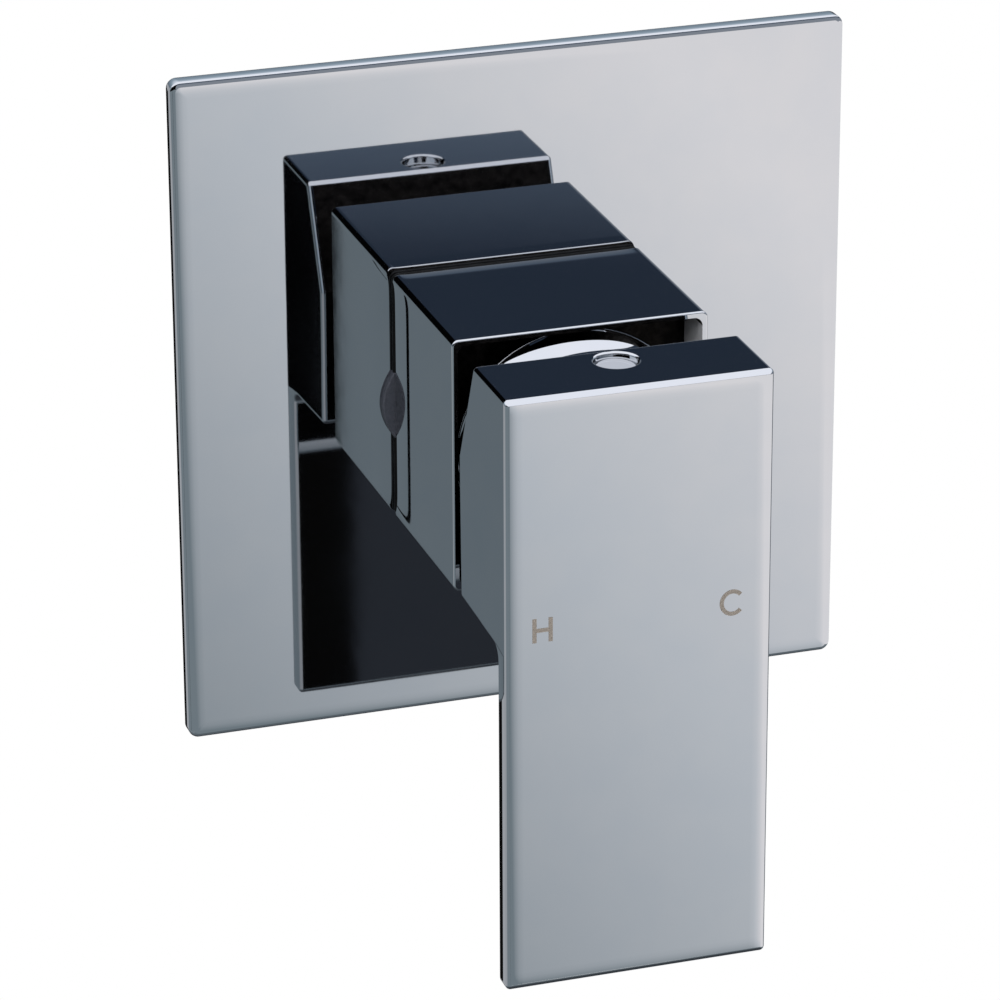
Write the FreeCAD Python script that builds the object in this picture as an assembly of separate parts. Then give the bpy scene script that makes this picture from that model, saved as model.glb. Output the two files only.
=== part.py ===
import FreeCAD, Part
import math
import os

from FreeCAD import Vector

# Single-lever wall mixer tap: in-wall brass body, 35 mm ceramic cartridge, square chrome trim and lever.
# Millimetres. +X to the right, +Y into the wall, +Z up. The origin is on the spindle axis in the plane of the
# finished wall. Places along the spindle are written as heights out of the wall: a height h lies at y = -h.

# Wall plate
PLATE_SIDE = 120.0
PLATE_DEPTH = 4.0
PLATE_WALL = 1.5
PLATE_CORNER = 1.8
PLATE_EDGE_ROUND = 0.8
COLLAR_WALL = 1.5
COLLAR_GAP = 0.45
COLLAR_STANDOFF = 0.75
GASKET_GAP = 0.3

# Body inside the wall
NECK_WALL = 0.95
BARREL_STEP = 3.05
BARREL_TOP = 12.0
PORT_DEPTH = 28.0
PORT_REACH = 38.0
PORT_BOSS_RADIUS = 14.0
PORT_BORE_RADIUS = 9.3155
PORT_BORE_LENGTH = 15.0
PORT_LIP = 0.8
WATERWAY_RADIUS = 4.8
FLANGE_DEPTH = 44.0
FLANGE_THICKNESS = 4.0
FLANGE_MARGIN = 6.0
FLANGE_CORNER = 6.0
FIXING_SPACING = 48.0
FIXING_RADIUS = 2.6
O_RING_SECTION = 2.4

# Cartridge, measured up from its seat in the body
CARTRIDGE_SEAT = 4.0
CARTRIDGE_RADIUS = 17.5
CHAMBER_GAP = 0.1
BASE_HEIGHT = 5.0
SPIGOT_HEIGHT = 2.2
SPIGOT_WALL = 2.45
HOUSING_WALL = 1.5
HOUSING_ROOF = 1.65
HOUSING_RING_SECTION = 1.0
ROOF_COLLAR_HEIGHT = 7.0
ROOF_COLLAR_WALL = 1.8
FIXED_DISC_THICKNESS = 3.0
MOVING_DISC_THICKNESS = 3.45
CARRIER_RIM = 1.0
CARRIER_CLEARANCE = 1.0
CARRIER_LIP = 1.2
CARRIER_HEIGHT = 5.5
ROTOR_FLANGE = 4.5
ROTOR_NECK_RADIUS = 11.1
ROTOR_STAND = 0.5
SLIP_RING_THICKNESS = 0.5
SLIDING_FILM = 0.05
RUNNING_GAP = 0.1
FREE_GAP = 0.3
INLET_RADIUS = 3.6
INLET_SIDE_GAP = 1.35
PORT_GAP = 0.8
OUTLET_RISE = 2.5
KIDNEY_WIDTH = 3.6
KIDNEY_HALF_ANGLE = 36.0
POCKET_RADIUS = 6.2
POCKET_DEPTH = 1.6
SEAL_SECTION = 1.5
PEG_RADIUS = 1.75
PEG_LENGTH = 3.0
PEG_INSET = 3.5
PEG_ANGLE = 28.0
NUT_BORE_GAP = 0.3
NUT_THREAD_DEPTH = 1.35
NUT_HEIGHT = 6.0
NUT_RECESS = 1.0
NUT_SLOT_WIDTH = 4.0
NUT_SLOT_DEPTH = 2.5
NUT_SLOTS = 4

# Lever stem
STEM_SIDE = 8.0
STEM_END = 4.5
TAIL_ARM = 9.5
TAIL_RADIUS = 2.3
TAIL_WIDTH = 6.0
TAIL_SHANK = 3.2
TAIL_PLAY = 0.15
TAIL_SIDE_PLAY = 0.2
PIN_RADIUS = 1.75
PIN_INSET = 0.6
LIFT_ANGLE = 25.0

# Sleeve and its domed nut
SLEEVE_WALL = 1.0
SLEEVE_DOME_GAP = 0.45
SLEEVE_EDGE_ROUND = 1.2
SLEEVE_REAR_ROUND = 0.9
SLEEVE_RIM_ROUND = 0.35
SLEEVE_INNER_CORNER = 1.5
RECESS_DEPTH = 8.8
WEB_THICKNESS = 2.5
WEB_GAP = 0.15
NOTCH_RADIUS = 6.0
NOTCH_DROP = 2.4
SLEEVE_GASKET_THICKNESS = 1.2
SLEEVE_GASKET_PROUD = 0.4
DOME_THREAD_LENGTH = 4.5
DOME_SKIRT_WALL = 1.1
DOME_SHELF = 1.0
DOME_SHELF_GAP = 0.2
DOME_SHOULDER_WIDTH = 0.55
DOME_STEP = 0.3
DOME_RISE = 2.8
DOME_BOW = 0.25
DOME_WALL = 1.5
DOME_OPENING_GAP = 1.25

# Handle
HANDLE_WIDTH = 46.2
HANDLE_TOP = 22.9
HANDLE_DROP = 83.2
HANDLE_DEPTH = 24.7
HUB_GAP = 5.1
HUB_BOTTOM = 20.4
TOP_RELIEF_EASE = 1.765
TOP_RELIEF_START = 4.5
LOW_RELIEF = 3.0
LOW_RELIEF_START = 0.5
BLADE_THICKNESS = 4.5
BLADE_FILLET = 4.0
HANDLE_EDGE_ROUND = 1.0
HUB_POCKET_RADIUS = 14.5
HUB_POCKET_DEPTH = 6.0
BOSS_WALL = 1.0
BOSS_REACH = 2.9
BUSH_WALL = 1.0
BUSH_GAP = 0.05
SCREW_SETBACK = 4.7
SCREW_RADIUS = 2.5
SCREW_LENGTH = 8.0
SCREW_GAP = 0.05
SCREW_KEY = 2.5
SCREW_KEY_DEPTH = 3.0
PLUG_RADIUS = 3.65
PLUG_HEIGHT = 5.2
PLUG_RECESS = 1.3
PLUG_GAP = 0.05
PLUG_CROWN = 0.35

# Heights out of the wall that follow from the sizes above
base_top = CARTRIDGE_SEAT + BASE_HEIGHT
fixed_top = base_top + FIXED_DISC_THICKNESS
moving_bottom = fixed_top + SLIDING_FILM
moving_top = moving_bottom + MOVING_DISC_THICKNESS
carrier_top = moving_top + CARRIER_HEIGHT
tail_height = carrier_top - CARRIER_LIP - FREE_GAP
pivot_height = tail_height + TAIL_ARM
rotor_bottom = carrier_top + FREE_GAP
rotor_flange_top = rotor_bottom + ROTOR_FLANGE
slip_bottom = rotor_flange_top + SLIDING_FILM
roof_under = slip_bottom + SLIP_RING_THICKNESS
nut_seat = roof_under + HOUSING_ROOF
roof_collar_top = nut_seat + ROOF_COLLAR_HEIGHT
rotor_top = roof_collar_top + ROTOR_STAND
nut_top = nut_seat + NUT_HEIGHT
neck_top = nut_top + NUT_RECESS
web_front = neck_top - DOME_THREAD_LENGTH
web_back = web_front - WEB_THICKNESS
sleeve_front = web_front + RECESS_DEPTH
sleeve_rear = PLATE_DEPTH + SLEEVE_GASKET_THICKNESS
dome_shelf = neck_top + DOME_SHELF_GAP
dome_shoulder = neck_top + DOME_SHELF
dome_foot_height = dome_shoulder + DOME_STEP
dome_crown = dome_foot_height + DOME_RISE
hub_back = sleeve_front + HUB_GAP
boss_end = hub_back - BOSS_REACH
handle_front = hub_back + HANDLE_DEPTH
blade_back = handle_front - BLADE_THICKNESS
top_relief = (HANDLE_TOP - TOP_RELIEF_START) * math.tan(math.radians(LIFT_ANGLE - TOP_RELIEF_EASE))
hub_top_back = hub_back + top_relief
hub_low_back = hub_back + LOW_RELIEF
screw_height = hub_top_back + SCREW_SETBACK
stem_end = screw_height + STEM_END

# Radii, sides and travels that follow
chamber_radius = CARTRIDGE_RADIUS + CHAMBER_GAP
nut_radius = chamber_radius + NUT_THREAD_DEPTH
neck_radius = nut_radius + SLIDING_FILM + NECK_WALL
barrel_radius = neck_radius + BARREL_STEP
plate_hole = neck_radius + COLLAR_GAP
flange_side = FIXING_SPACING + 2 * FLANGE_MARGIN
cavity_radius = CARTRIDGE_RADIUS - HOUSING_WALL
spigot_radius = cavity_radius - SLIDING_FILM
fixed_disc_radius = spigot_radius - SPIGOT_WALL - RUNNING_GAP
roof_collar_radius = ROTOR_NECK_RADIUS + RUNNING_GAP + ROOF_COLLAR_WALL
lift = math.radians(LIFT_ANGLE)
disc_travel = TAIL_ARM * math.sin(lift)
disc_rise = disc_travel / 2.0
carrier_radius = cavity_radius - disc_rise - CARRIER_CLEARANCE
moving_disc_radius = carrier_radius - CARRIER_RIM
dome_radius = neck_radius + DOME_SKIRT_WALL
sleeve_side = 2 * (dome_radius + SLEEVE_DOME_GAP + SLEEVE_WALL)
sleeve_inner = sleeve_side - 2 * SLEEVE_WALL
bush_inner = STEM_SIDE + 2 * BUSH_GAP
bush_outer = bush_inner + 2 * BUSH_WALL
socket_side = bush_outer + 2 * BUSH_GAP
boss_radius = socket_side / math.sqrt(2) + BOSS_WALL
boss_swing = boss_radius / math.cos(lift) + (dome_crown - pivot_height) * math.tan(lift)
dome_opening = boss_swing + DOME_OPENING_GAP
seal_radius = INLET_RADIUS + SEAL_SECTION
inlet_side = seal_radius + INLET_SIDE_GAP
inlet_drop = math.sqrt((2 * seal_radius + PORT_GAP) ** 2 - inlet_side ** 2) - OUTLET_RISE
inlet_circle = math.hypot(inlet_side, inlet_drop)
inlet_angle = math.degrees(math.atan2(inlet_side, inlet_drop))
peg_circle = CARTRIDGE_RADIUS - PEG_INSET

OUT = Vector(0, -1, 0)
RIGHT = Vector(1, 0, 0)
UP = Vector(0, 0, 1)


def at(x, height, z):
    """Point at a height out of the wall."""
    return Vector(x, -height, z)


def rod(radius, low, high, x=0.0, z=0.0):
    """Cylinder along the spindle, from one height to another."""
    return Part.makeCylinder(radius, high - low, at(x, low, z), OUT)


def cross_rod(radius, left, right, height, z=0.0):
    """Cylinder across the tap."""
    return Part.makeCylinder(radius, right - left, at(left, height, z), RIGHT)


def upright_rod(radius, low, high, height, x=0.0):
    """Vertical cylinder at a height out of the wall."""
    return Part.makeCylinder(radius, high - low, at(x, height, low), UP)


def tube(outer, inner, low, high, x=0.0, z=0.0):
    """Ring along the spindle."""
    return rod(outer, low, high, x, z).cut(rod(inner, low, high, x, z))


def block(width, tall, low, high, x=0.0, z=0.0):
    """Box centred on the point x, z, between two heights."""
    corner = at(x - width / 2.0, high, z - tall / 2.0)
    return Part.makeBox(width, high - low, tall, corner)


def turned(points):
    """Solid of revolution about the spindle, from a closed profile of radius and height."""
    corners = [at(radius, height, 0) for radius, height in points]
    face = Part.Face(Part.makePolygon(corners + corners[:1]))
    return face.revolve(Vector(0, 0, 0), OUT, 360)


def edges_along(shape, direction, pick=None):
    """Straight edges that run along a direction and pass the test."""
    found = []
    for edge in shape.Edges:
        if not isinstance(edge.Curve, Part.Line):
            continue
        if edge.Curve.Direction.cross(direction).Length > 1e-6:
            continue
        if pick is None or pick(edge.CenterOfMass):
            found.append(edge)
    return found


def edges_at(shape, height):
    """Edges that lie in the plane at a height out of the wall."""
    def flat(edge):
        box = edge.BoundBox
        return abs(box.YMin + height) < 1e-4 and abs(box.YMax + height) < 1e-4
    return [edge for edge in shape.Edges if flat(edge)]


def square_bar(side, corner, low, high):
    """Square bar along the spindle with rounded corners."""
    bar = block(side, side, low, high)
    return bar.makeFillet(corner, edges_along(bar, OUT))


def o_ring(section, radius, height):
    """Rubber ring of round section whose centre line has the given radius."""
    return Part.makeTorus(radius, section / 2.0, at(0, height, 0), OUT)


def port_places():
    """Hot, cold and outlet openings under the cartridge, as x and z."""
    return [(-inlet_side, -inlet_drop), (inlet_side, -inlet_drop), (0.0, OUTLET_RISE)]


def peg_places():
    """Two locating pegs above the inlets, as x and z."""
    across = peg_circle * math.cos(math.radians(PEG_ANGLE))
    up = peg_circle * math.sin(math.radians(PEG_ANGLE))
    return [(-across, up), (across, up)]


def make_wall_plate():
    """Pressed plate: a face with returned edges and a collar turned in at its hole."""
    plate = square_bar(PLATE_SIDE, PLATE_CORNER, 0, PLATE_DEPTH)
    plate = plate.makeFillet(PLATE_EDGE_ROUND, edges_at(plate, PLATE_DEPTH))
    hollow_side = PLATE_SIDE - 2 * PLATE_WALL
    hollow = block(hollow_side, hollow_side, 0, PLATE_DEPTH - PLATE_WALL)
    collar = rod(plate_hole + COLLAR_WALL, COLLAR_STANDOFF, PLATE_DEPTH)
    return plate.cut(hollow).fuse(collar).cut(rod(plate_hole, 0, PLATE_DEPTH)).removeSplitter()


def make_plate_gasket():
    """Foam sheet that fills the hollow back of the plate and meets the wall."""
    side = PLATE_SIDE - 2 * PLATE_WALL - 2 * GASKET_GAP
    hole = plate_hole + COLLAR_WALL + GASKET_GAP
    top = PLATE_DEPTH - PLATE_WALL
    return block(side, side, 0, top).cut(rod(hole, 0, top))


def neck_groove():
    """Radius of the O-ring's centre line and its height on the neck."""
    return plate_hole - O_RING_SECTION / 2.0, (COLLAR_STANDOFF + PLATE_DEPTH) / 2.0


def make_neck_o_ring():
    """Ring that seals the neck of the body in the plate's collar."""
    radius, height = neck_groove()
    return o_ring(O_RING_SECTION, radius, height)


def add_port(body, direction, axis_rod):
    """Adds one boss with a threaded mouth; axis_rod makes a rod outwards from the spindle."""
    boss = axis_rod(PORT_BOSS_RADIUS, 0, PORT_REACH)
    rim = [edge for edge in boss.Edges if edge.CenterOfMass.dot(direction) > PORT_REACH - 1e-3]
    return body.fuse(boss.makeChamfer(PORT_LIP, rim))


def make_mixer_body():
    """Brass casting: fixing flange, barrel, three ports, neck, cartridge chamber and waterways."""
    def leftward(radius, near, far):
        return cross_rod(radius, -far, -near, -PORT_DEPTH)

    def rightward(radius, near, far):
        return cross_rod(radius, near, far, -PORT_DEPTH)

    def upward(radius, near, far):
        return upright_rod(radius, near, far, -PORT_DEPTH)

    flange_bar = square_bar(flange_side, FLANGE_CORNER, -FLANGE_DEPTH, FLANGE_THICKNESS - FLANGE_DEPTH)
    body = flange_bar.fuse(rod(barrel_radius, -FLANGE_DEPTH, -BARREL_TOP))
    body = body.fuse(rod(neck_radius, -FLANGE_DEPTH, neck_top))
    ports = [(Vector(-1, 0, 0), leftward), (RIGHT, rightward), (UP, upward)]
    for direction, axis_rod in ports:
        body = add_port(body, direction, axis_rod)
    half = FIXING_SPACING / 2.0
    for x, z in ((-half, -half), (-half, half), (half, -half), (half, half)):
        body = body.cut(rod(FIXING_RADIUS, -FLANGE_DEPTH, FLANGE_THICKNESS - FLANGE_DEPTH, x, z))

    body = body.cut(rod(chamber_radius, CARTRIDGE_SEAT, neck_top))
    body = body.cut(rod(nut_radius + SLIDING_FILM, nut_seat, neck_top))
    ring_radius, ring_height = neck_groove()
    half = O_RING_SECTION / 2.0
    groove = tube(neck_radius + half, ring_radius - half, ring_height - half, ring_height + half)
    body = body.cut(groove)
    bottom = PORT_REACH - PORT_BORE_LENGTH
    for (x, z), (direction, axis_rod) in zip(port_places(), ports):
        inner = abs(x) if direction.x else z
        body = body.cut(axis_rod(PORT_BORE_RADIUS, bottom, PORT_REACH))
        body = body.cut(axis_rod(WATERWAY_RADIUS, inner, bottom))
        body = body.cut(rod(INLET_RADIUS, -PORT_DEPTH, CARTRIDGE_SEAT, x, z))
    for x, z in peg_places():
        socket = PEG_LENGTH + FREE_GAP
        body = body.cut(rod(PEG_RADIUS + RUNNING_GAP, CARTRIDGE_SEAT - socket, CARTRIDGE_SEAT, x, z))
    return body.removeSplitter()


def make_cartridge_base():
    """Moulded base: ported floor with seal grooves below, a spigot above and two pegs."""
    base = rod(CARTRIDGE_RADIUS, CARTRIDGE_SEAT, base_top)
    spigot = tube(spigot_radius, spigot_radius - SPIGOT_WALL, base_top, base_top + SPIGOT_HEIGHT)
    base = base.fuse(spigot)
    for x, z in port_places():
        base = base.cut(rod(INLET_RADIUS, CARTRIDGE_SEAT, base_top, x, z))
        groove = tube(seal_radius, INLET_RADIUS, CARTRIDGE_SEAT, CARTRIDGE_SEAT + SEAL_SECTION, x, z)
        base = base.cut(groove)
    for x, z in peg_places():
        base = base.fuse(rod(PEG_RADIUS, CARTRIDGE_SEAT - PEG_LENGTH, CARTRIDGE_SEAT, x, z))
    radius, height = housing_ring()
    return base.cut(o_ring(HOUSING_RING_SECTION, radius, height)).removeSplitter()


def housing_ring():
    """Centre-line radius and height of the ring round the base's spigot."""
    return cavity_radius - HOUSING_RING_SECTION / 2.0, base_top + SPIGOT_HEIGHT / 2.0


def make_housing_o_ring():
    """Ring that seals the housing on the base's spigot."""
    radius, height = housing_ring()
    return o_ring(HOUSING_RING_SECTION, radius, height)


def make_port_seals():
    """One rubber ring in each groove under the base."""
    rings = []
    for x, z in port_places():
        rings.append(tube(seal_radius - SLIDING_FILM, INLET_RADIUS, CARTRIDGE_SEAT,
                          CARTRIDGE_SEAT + SEAL_SECTION, x, z))
    return Part.makeCompound(rings)


def kidney(low, high, angle):
    """Ring sector about the spindle, centred on an angle measured from the downward direction."""
    band = tube(inlet_circle + KIDNEY_WIDTH / 2.0, inlet_circle - KIDNEY_WIDTH / 2.0, low, high)
    reach = 2 * (inlet_circle + KIDNEY_WIDTH)
    corners = [Vector(0, -low, 0)]
    for turn in (-KIDNEY_HALF_ANGLE, 0, KIDNEY_HALF_ANGLE):
        swing = math.radians(angle + turn)
        corners.append(at(reach * math.sin(swing), low, -reach * math.cos(swing)))
    wedge = Part.Face(Part.makePolygon(corners + corners[:1])).extrude(OUT * (high - low))
    return band.common(wedge)


def make_fixed_disc():
    """Ceramic disc with two kidney inlets and a round outlet."""
    disc = rod(fixed_disc_radius, base_top, fixed_top)
    for angle in (-inlet_angle, inlet_angle):
        disc = disc.cut(kidney(base_top, fixed_top, angle))
    return disc.cut(rod(INLET_RADIUS, base_top, fixed_top, 0, OUTLET_RISE))


def make_moving_disc():
    """Ceramic disc, closed at rest, with the mixing pocket in its lower face."""
    disc = rod(moving_disc_radius, moving_bottom, moving_top, 0, disc_rise)
    return disc.cut(rod(POCKET_RADIUS, moving_bottom, moving_bottom + POCKET_DEPTH))


def make_disc_carrier():
    """Moulded slide: a rim round the moving disc and a slot for the stem's tail."""
    carrier = rod(carrier_radius, moving_top - CARRIER_LIP, carrier_top, 0, disc_rise)
    carrier = carrier.cut(rod(moving_disc_radius, moving_top - CARRIER_LIP, moving_top, 0, disc_rise))
    slot = block(TAIL_WIDTH + 2 * TAIL_SIDE_PLAY, 2 * (TAIL_RADIUS + TAIL_PLAY),
                 tail_height - TAIL_RADIUS - FREE_GAP, carrier_top)
    return carrier.cut(slot)


def make_rotor():
    """Moulded spindle guide: a flange under the housing's roof and a slotted neck that holds the pin."""
    rotor = rod(cavity_radius - FREE_GAP, rotor_bottom, rotor_flange_top)
    rotor = rotor.fuse(rod(ROTOR_NECK_RADIUS, rotor_flange_top, rotor_top))
    reach = max(rotor_top - pivot_height, pivot_height - rotor_bottom)
    half = STEM_SIDE / 2.0
    swing = half / math.cos(lift) + reach * math.tan(lift) + FREE_GAP
    slot = block(STEM_SIDE + 2 * TAIL_SIDE_PLAY, 2 * swing, rotor_bottom, rotor_top)
    hole = cross_rod(PIN_RADIUS, -ROTOR_NECK_RADIUS, ROTOR_NECK_RADIUS, pivot_height)
    return rotor.cut(slot).cut(hole)


def make_pivot_pin():
    """Steel pin across the rotor's neck."""
    half = ROTOR_NECK_RADIUS - PIN_INSET
    return cross_rod(PIN_RADIUS, -half, half, pivot_height)


def make_slip_ring():
    """Thrust washer under the housing's roof."""
    return tube(cavity_radius - RUNNING_GAP, ROTOR_NECK_RADIUS + FREE_GAP, slip_bottom, roof_under)


def make_cartridge_housing():
    """Moulded cup with a roof and a collar round the rotor's neck."""
    bore = ROTOR_NECK_RADIUS + RUNNING_GAP
    profile = [(CARTRIDGE_RADIUS, base_top), (CARTRIDGE_RADIUS, nut_seat), (roof_collar_radius, nut_seat),
               (roof_collar_radius, roof_collar_top), (bore, roof_collar_top), (bore, roof_under),
               (cavity_radius, roof_under), (cavity_radius, base_top)]
    return turned(profile)


def make_cartridge_nut():
    """Threaded ring with key slots that clamps the housing's shoulder."""
    nut = tube(nut_radius, roof_collar_radius + NUT_BORE_GAP, nut_seat, nut_top)
    slot = block(2 * nut_radius, NUT_SLOT_WIDTH, nut_top - NUT_SLOT_DEPTH, nut_top)
    for index in range(NUT_SLOTS // 2):
        turn = slot.copy()
        turn.rotate(Vector(0, 0, 0), OUT, index * 360.0 / NUT_SLOTS)
        nut = nut.cut(turn)
    return nut


def make_lever_stem():
    """Square stem with a cross hole for the pin and a rounded tail."""
    shoulder = pivot_height - STEM_SIDE / 2.0
    stem = block(STEM_SIDE, STEM_SIDE, pivot_height, stem_end)
    heel = cross_rod(STEM_SIDE / 2.0, -STEM_SIDE / 2.0, STEM_SIDE / 2.0, pivot_height)
    shank = block(TAIL_WIDTH, TAIL_SHANK, tail_height, shoulder + TAIL_SHANK)
    knob = cross_rod(TAIL_RADIUS, -TAIL_WIDTH / 2.0, TAIL_WIDTH / 2.0, tail_height)
    stem = stem.fuse(heel).fuse(shank).fuse(knob)
    pin_hole = cross_rod(PIN_RADIUS + SLIDING_FILM, -STEM_SIDE, STEM_SIDE, pivot_height)
    return stem.cut(pin_hole).removeSplitter()


def make_sleeve_gasket():
    """Thin rubber frame under the sleeve, a little proud of it."""
    outer = square_bar(sleeve_side + 2 * SLEEVE_GASKET_PROUD, SLEEVE_EDGE_ROUND, PLATE_DEPTH, sleeve_rear)
    return outer.cut(rod(plate_hole + COLLAR_GAP, PLATE_DEPTH, sleeve_rear))


def make_sleeve():
    """Square cover tube with a clamping web, a front recess and a weep notch in its rear left edge."""
    sleeve = square_bar(sleeve_side, SLEEVE_EDGE_ROUND, sleeve_rear, sleeve_front)
    sleeve = sleeve.makeFillet(SLEEVE_REAR_ROUND, edges_at(sleeve, sleeve_rear))
    sleeve = sleeve.makeFillet(SLEEVE_RIM_ROUND, edges_at(sleeve, sleeve_front))
    sleeve = sleeve.cut(square_bar(sleeve_inner, SLEEVE_INNER_CORNER, web_front, sleeve_front))
    sleeve = sleeve.cut(square_bar(sleeve_inner, SLEEVE_INNER_CORNER, sleeve_rear, web_back))
    sleeve = sleeve.cut(rod(neck_radius + WEB_GAP, web_back, web_front))
    half = sleeve_side / 2.0
    notch = cross_rod(NOTCH_RADIUS, -half, -half + SLEEVE_WALL, sleeve_rear, -NOTCH_DROP)
    return sleeve.cut(notch)


def make_dome_cover():
    """Round nut on the neck: threaded skirt, flat shoulder and a shallow dome with an opening."""
    foot = dome_radius - DOME_SHOULDER_WIDTH
    bore = neck_radius + SLIDING_FILM
    low_outer = at(foot, dome_foot_height, 0)
    high_outer = at(dome_opening, dome_crown, 0)
    middle = (low_outer + high_outer) * 0.5
    chord = high_outer - low_outer
    normal = Vector(-chord.y, chord.x, 0).normalize()
    if normal.y > 0:
        normal = normal * -1
    outer_arc = Part.Arc(low_outer, middle + normal * DOME_BOW, high_outer).toShape()
    high_inner = at(dome_opening, dome_crown - DOME_WALL, 0)
    low_inner = at(foot - DOME_WALL, dome_shelf, 0)
    inner_middle = (high_inner + low_inner) * 0.5
    inner_arc = Part.Arc(high_inner, inner_middle + normal * DOME_BOW, low_inner).toShape()
    path = [low_inner, at(bore, dome_shelf, 0), at(bore, web_front, 0), at(dome_radius, web_front, 0),
            at(dome_radius, dome_shoulder, 0), at(foot, dome_shoulder, 0), low_outer]
    lines = [Part.makeLine(first, second) for first, second in zip(path, path[1:])]
    lines += [outer_arc, Part.makeLine(high_outer, high_inner), inner_arc]
    face = Part.Face(Part.Wire(Part.__sortEdges__(lines)))
    return face.revolve(Vector(0, 0, 0), OUT, 360)


def handle_profile():
    """Side outline of the handle as height out of the wall and z."""
    return [(handle_front, HANDLE_TOP), (hub_top_back, HANDLE_TOP), (hub_back, TOP_RELIEF_START),
            (hub_back, -LOW_RELIEF_START), (hub_low_back, -HUB_BOTTOM), (blade_back, -HUB_BOTTOM),
            (blade_back, -HANDLE_DROP), (handle_front, -HANDLE_DROP)]


def make_handle():
    """Cast lever: square hub relieved at the back, flat blade, cored pocket, socket boss and screw hole."""
    half = HANDLE_WIDTH / 2.0
    corners = [at(-half, height, z) for height, z in handle_profile()]
    outline = Part.Face(Part.makePolygon(corners + corners[:1]))
    handle = outline.extrude(RIGHT * HANDLE_WIDTH)

    def is_root(point):
        return abs(point.y + blade_back) < 1e-4 and abs(point.z + HUB_BOTTOM) < 1e-4

    handle = handle.makeFillet(BLADE_FILLET, edges_along(handle, RIGHT, is_root))
    sharp = [edge for edge in handle.Edges if not is_smooth(edge, handle)]
    handle = handle.makeFillet(HANDLE_EDGE_ROUND, sharp)

    pocket_top = hub_back + HUB_POCKET_DEPTH
    handle = handle.cut(rod(HUB_POCKET_RADIUS, hub_back, pocket_top))
    handle = handle.fuse(rod(boss_radius, boss_end, pocket_top))
    handle = handle.cut(block(socket_side, socket_side, boss_end, stem_end + FREE_GAP))
    plug_floor = HANDLE_TOP - PLUG_RECESS - PLUG_HEIGHT
    handle = handle.cut(upright_rod(SCREW_RADIUS + SCREW_GAP, 0, plug_floor, screw_height))
    handle = handle.cut(upright_rod(PLUG_RADIUS + PLUG_GAP, plug_floor, HANDLE_TOP, screw_height))
    return handle.removeSplitter()


def is_smooth(edge, shape):
    """True where the two faces at an edge meet without a corner."""
    faces = shape.ancestorsOfType(edge, Part.Face)
    if len(faces) < 2:
        return True
    middle = edge.valueAt((edge.FirstParameter + edge.LastParameter) / 2.0)
    normals = []
    for face in faces:
        u, v = face.Surface.parameter(middle)
        normals.append(face.normalAt(u, v))
    return normals[0].cross(normals[1]).Length < 1e-3


def make_stem_bush():
    """Square adaptor between stem and handle, open at the top for the screw."""
    bush = block(bush_outer, bush_outer, boss_end, stem_end)
    bush = bush.cut(block(bush_inner, bush_inner, boss_end, stem_end))
    return bush.cut(upright_rod(SCREW_RADIUS + FREE_GAP, 0, bush_outer, screw_height))


def make_grub_screw():
    """Set screw with a hexagon socket, its tip on the stem's flat."""
    low = STEM_SIDE / 2.0
    screw = upright_rod(SCREW_RADIUS, low, low + SCREW_LENGTH, screw_height)
    corner = SCREW_KEY / math.sqrt(3)
    points = []
    for index in range(6):
        angle = math.radians(60 * index)
        points.append(at(corner * math.cos(angle), screw_height + corner * math.sin(angle),
                         low + SCREW_LENGTH - SCREW_KEY_DEPTH))
    key = Part.Face(Part.makePolygon(points + points[:1])).extrude(UP * SCREW_KEY_DEPTH)
    return screw.cut(key)


def make_handle_plug():
    """Chrome plug over the set screw, with a slightly turned-down rim."""
    low = HANDLE_TOP - PLUG_RECESS - PLUG_HEIGHT
    plug = upright_rod(PLUG_RADIUS, low, low + PLUG_HEIGHT, screw_height)
    rim = [edge for edge in plug.Edges if edge.CenterOfMass.z > low + PLUG_HEIGHT - 1e-3]
    return plug.makeFillet(PLUG_CROWN, rim)


PIECES = {
    "mixer_body": make_mixer_body,
    "wall_plate": make_wall_plate,
    "plate_gasket": make_plate_gasket,
    "neck_o_ring": make_neck_o_ring,
    "sleeve_gasket": make_sleeve_gasket,
    "sleeve": make_sleeve,
    "dome_cover": make_dome_cover,
    "cartridge_nut": make_cartridge_nut,
    "cartridge_housing": make_cartridge_housing,
    "cartridge_base": make_cartridge_base,
    "port_seals": make_port_seals,
    "housing_o_ring": make_housing_o_ring,
    "fixed_disc": make_fixed_disc,
    "slip_ring": make_slip_ring,
    "rotor": make_rotor,
    "pivot_pin": make_pivot_pin,
    "disc_carrier": make_disc_carrier,
    "moving_disc": make_moving_disc,
    "lever_stem": make_lever_stem,
    "stem_bush": make_stem_bush,
    "handle": make_handle,
    "grub_screw": make_grub_screw,
    "handle_plug": make_handle_plug,
}

os.makedirs("parts", exist_ok=True)
for name, make in PIECES.items():
    make().exportStep("parts/" + name + ".step")
print("pivot height", round(pivot_height, 3), "disc travel", round(disc_travel, 4), "pieces", len(PIECES))
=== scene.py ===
"""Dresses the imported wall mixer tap: polished chrome trim, a cast brass body in the wall and its cartridge.

Shapes are worked out in millimetres in the part's own frame, +X right, +Y into the wall, +Z up, and become
metres only when a mesh is made. A height is a distance out of the wall, so a height h lies at y = -h.
"""

import logging
from dataclasses import dataclass, field
from enum import Enum
from typing import ClassVar

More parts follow.
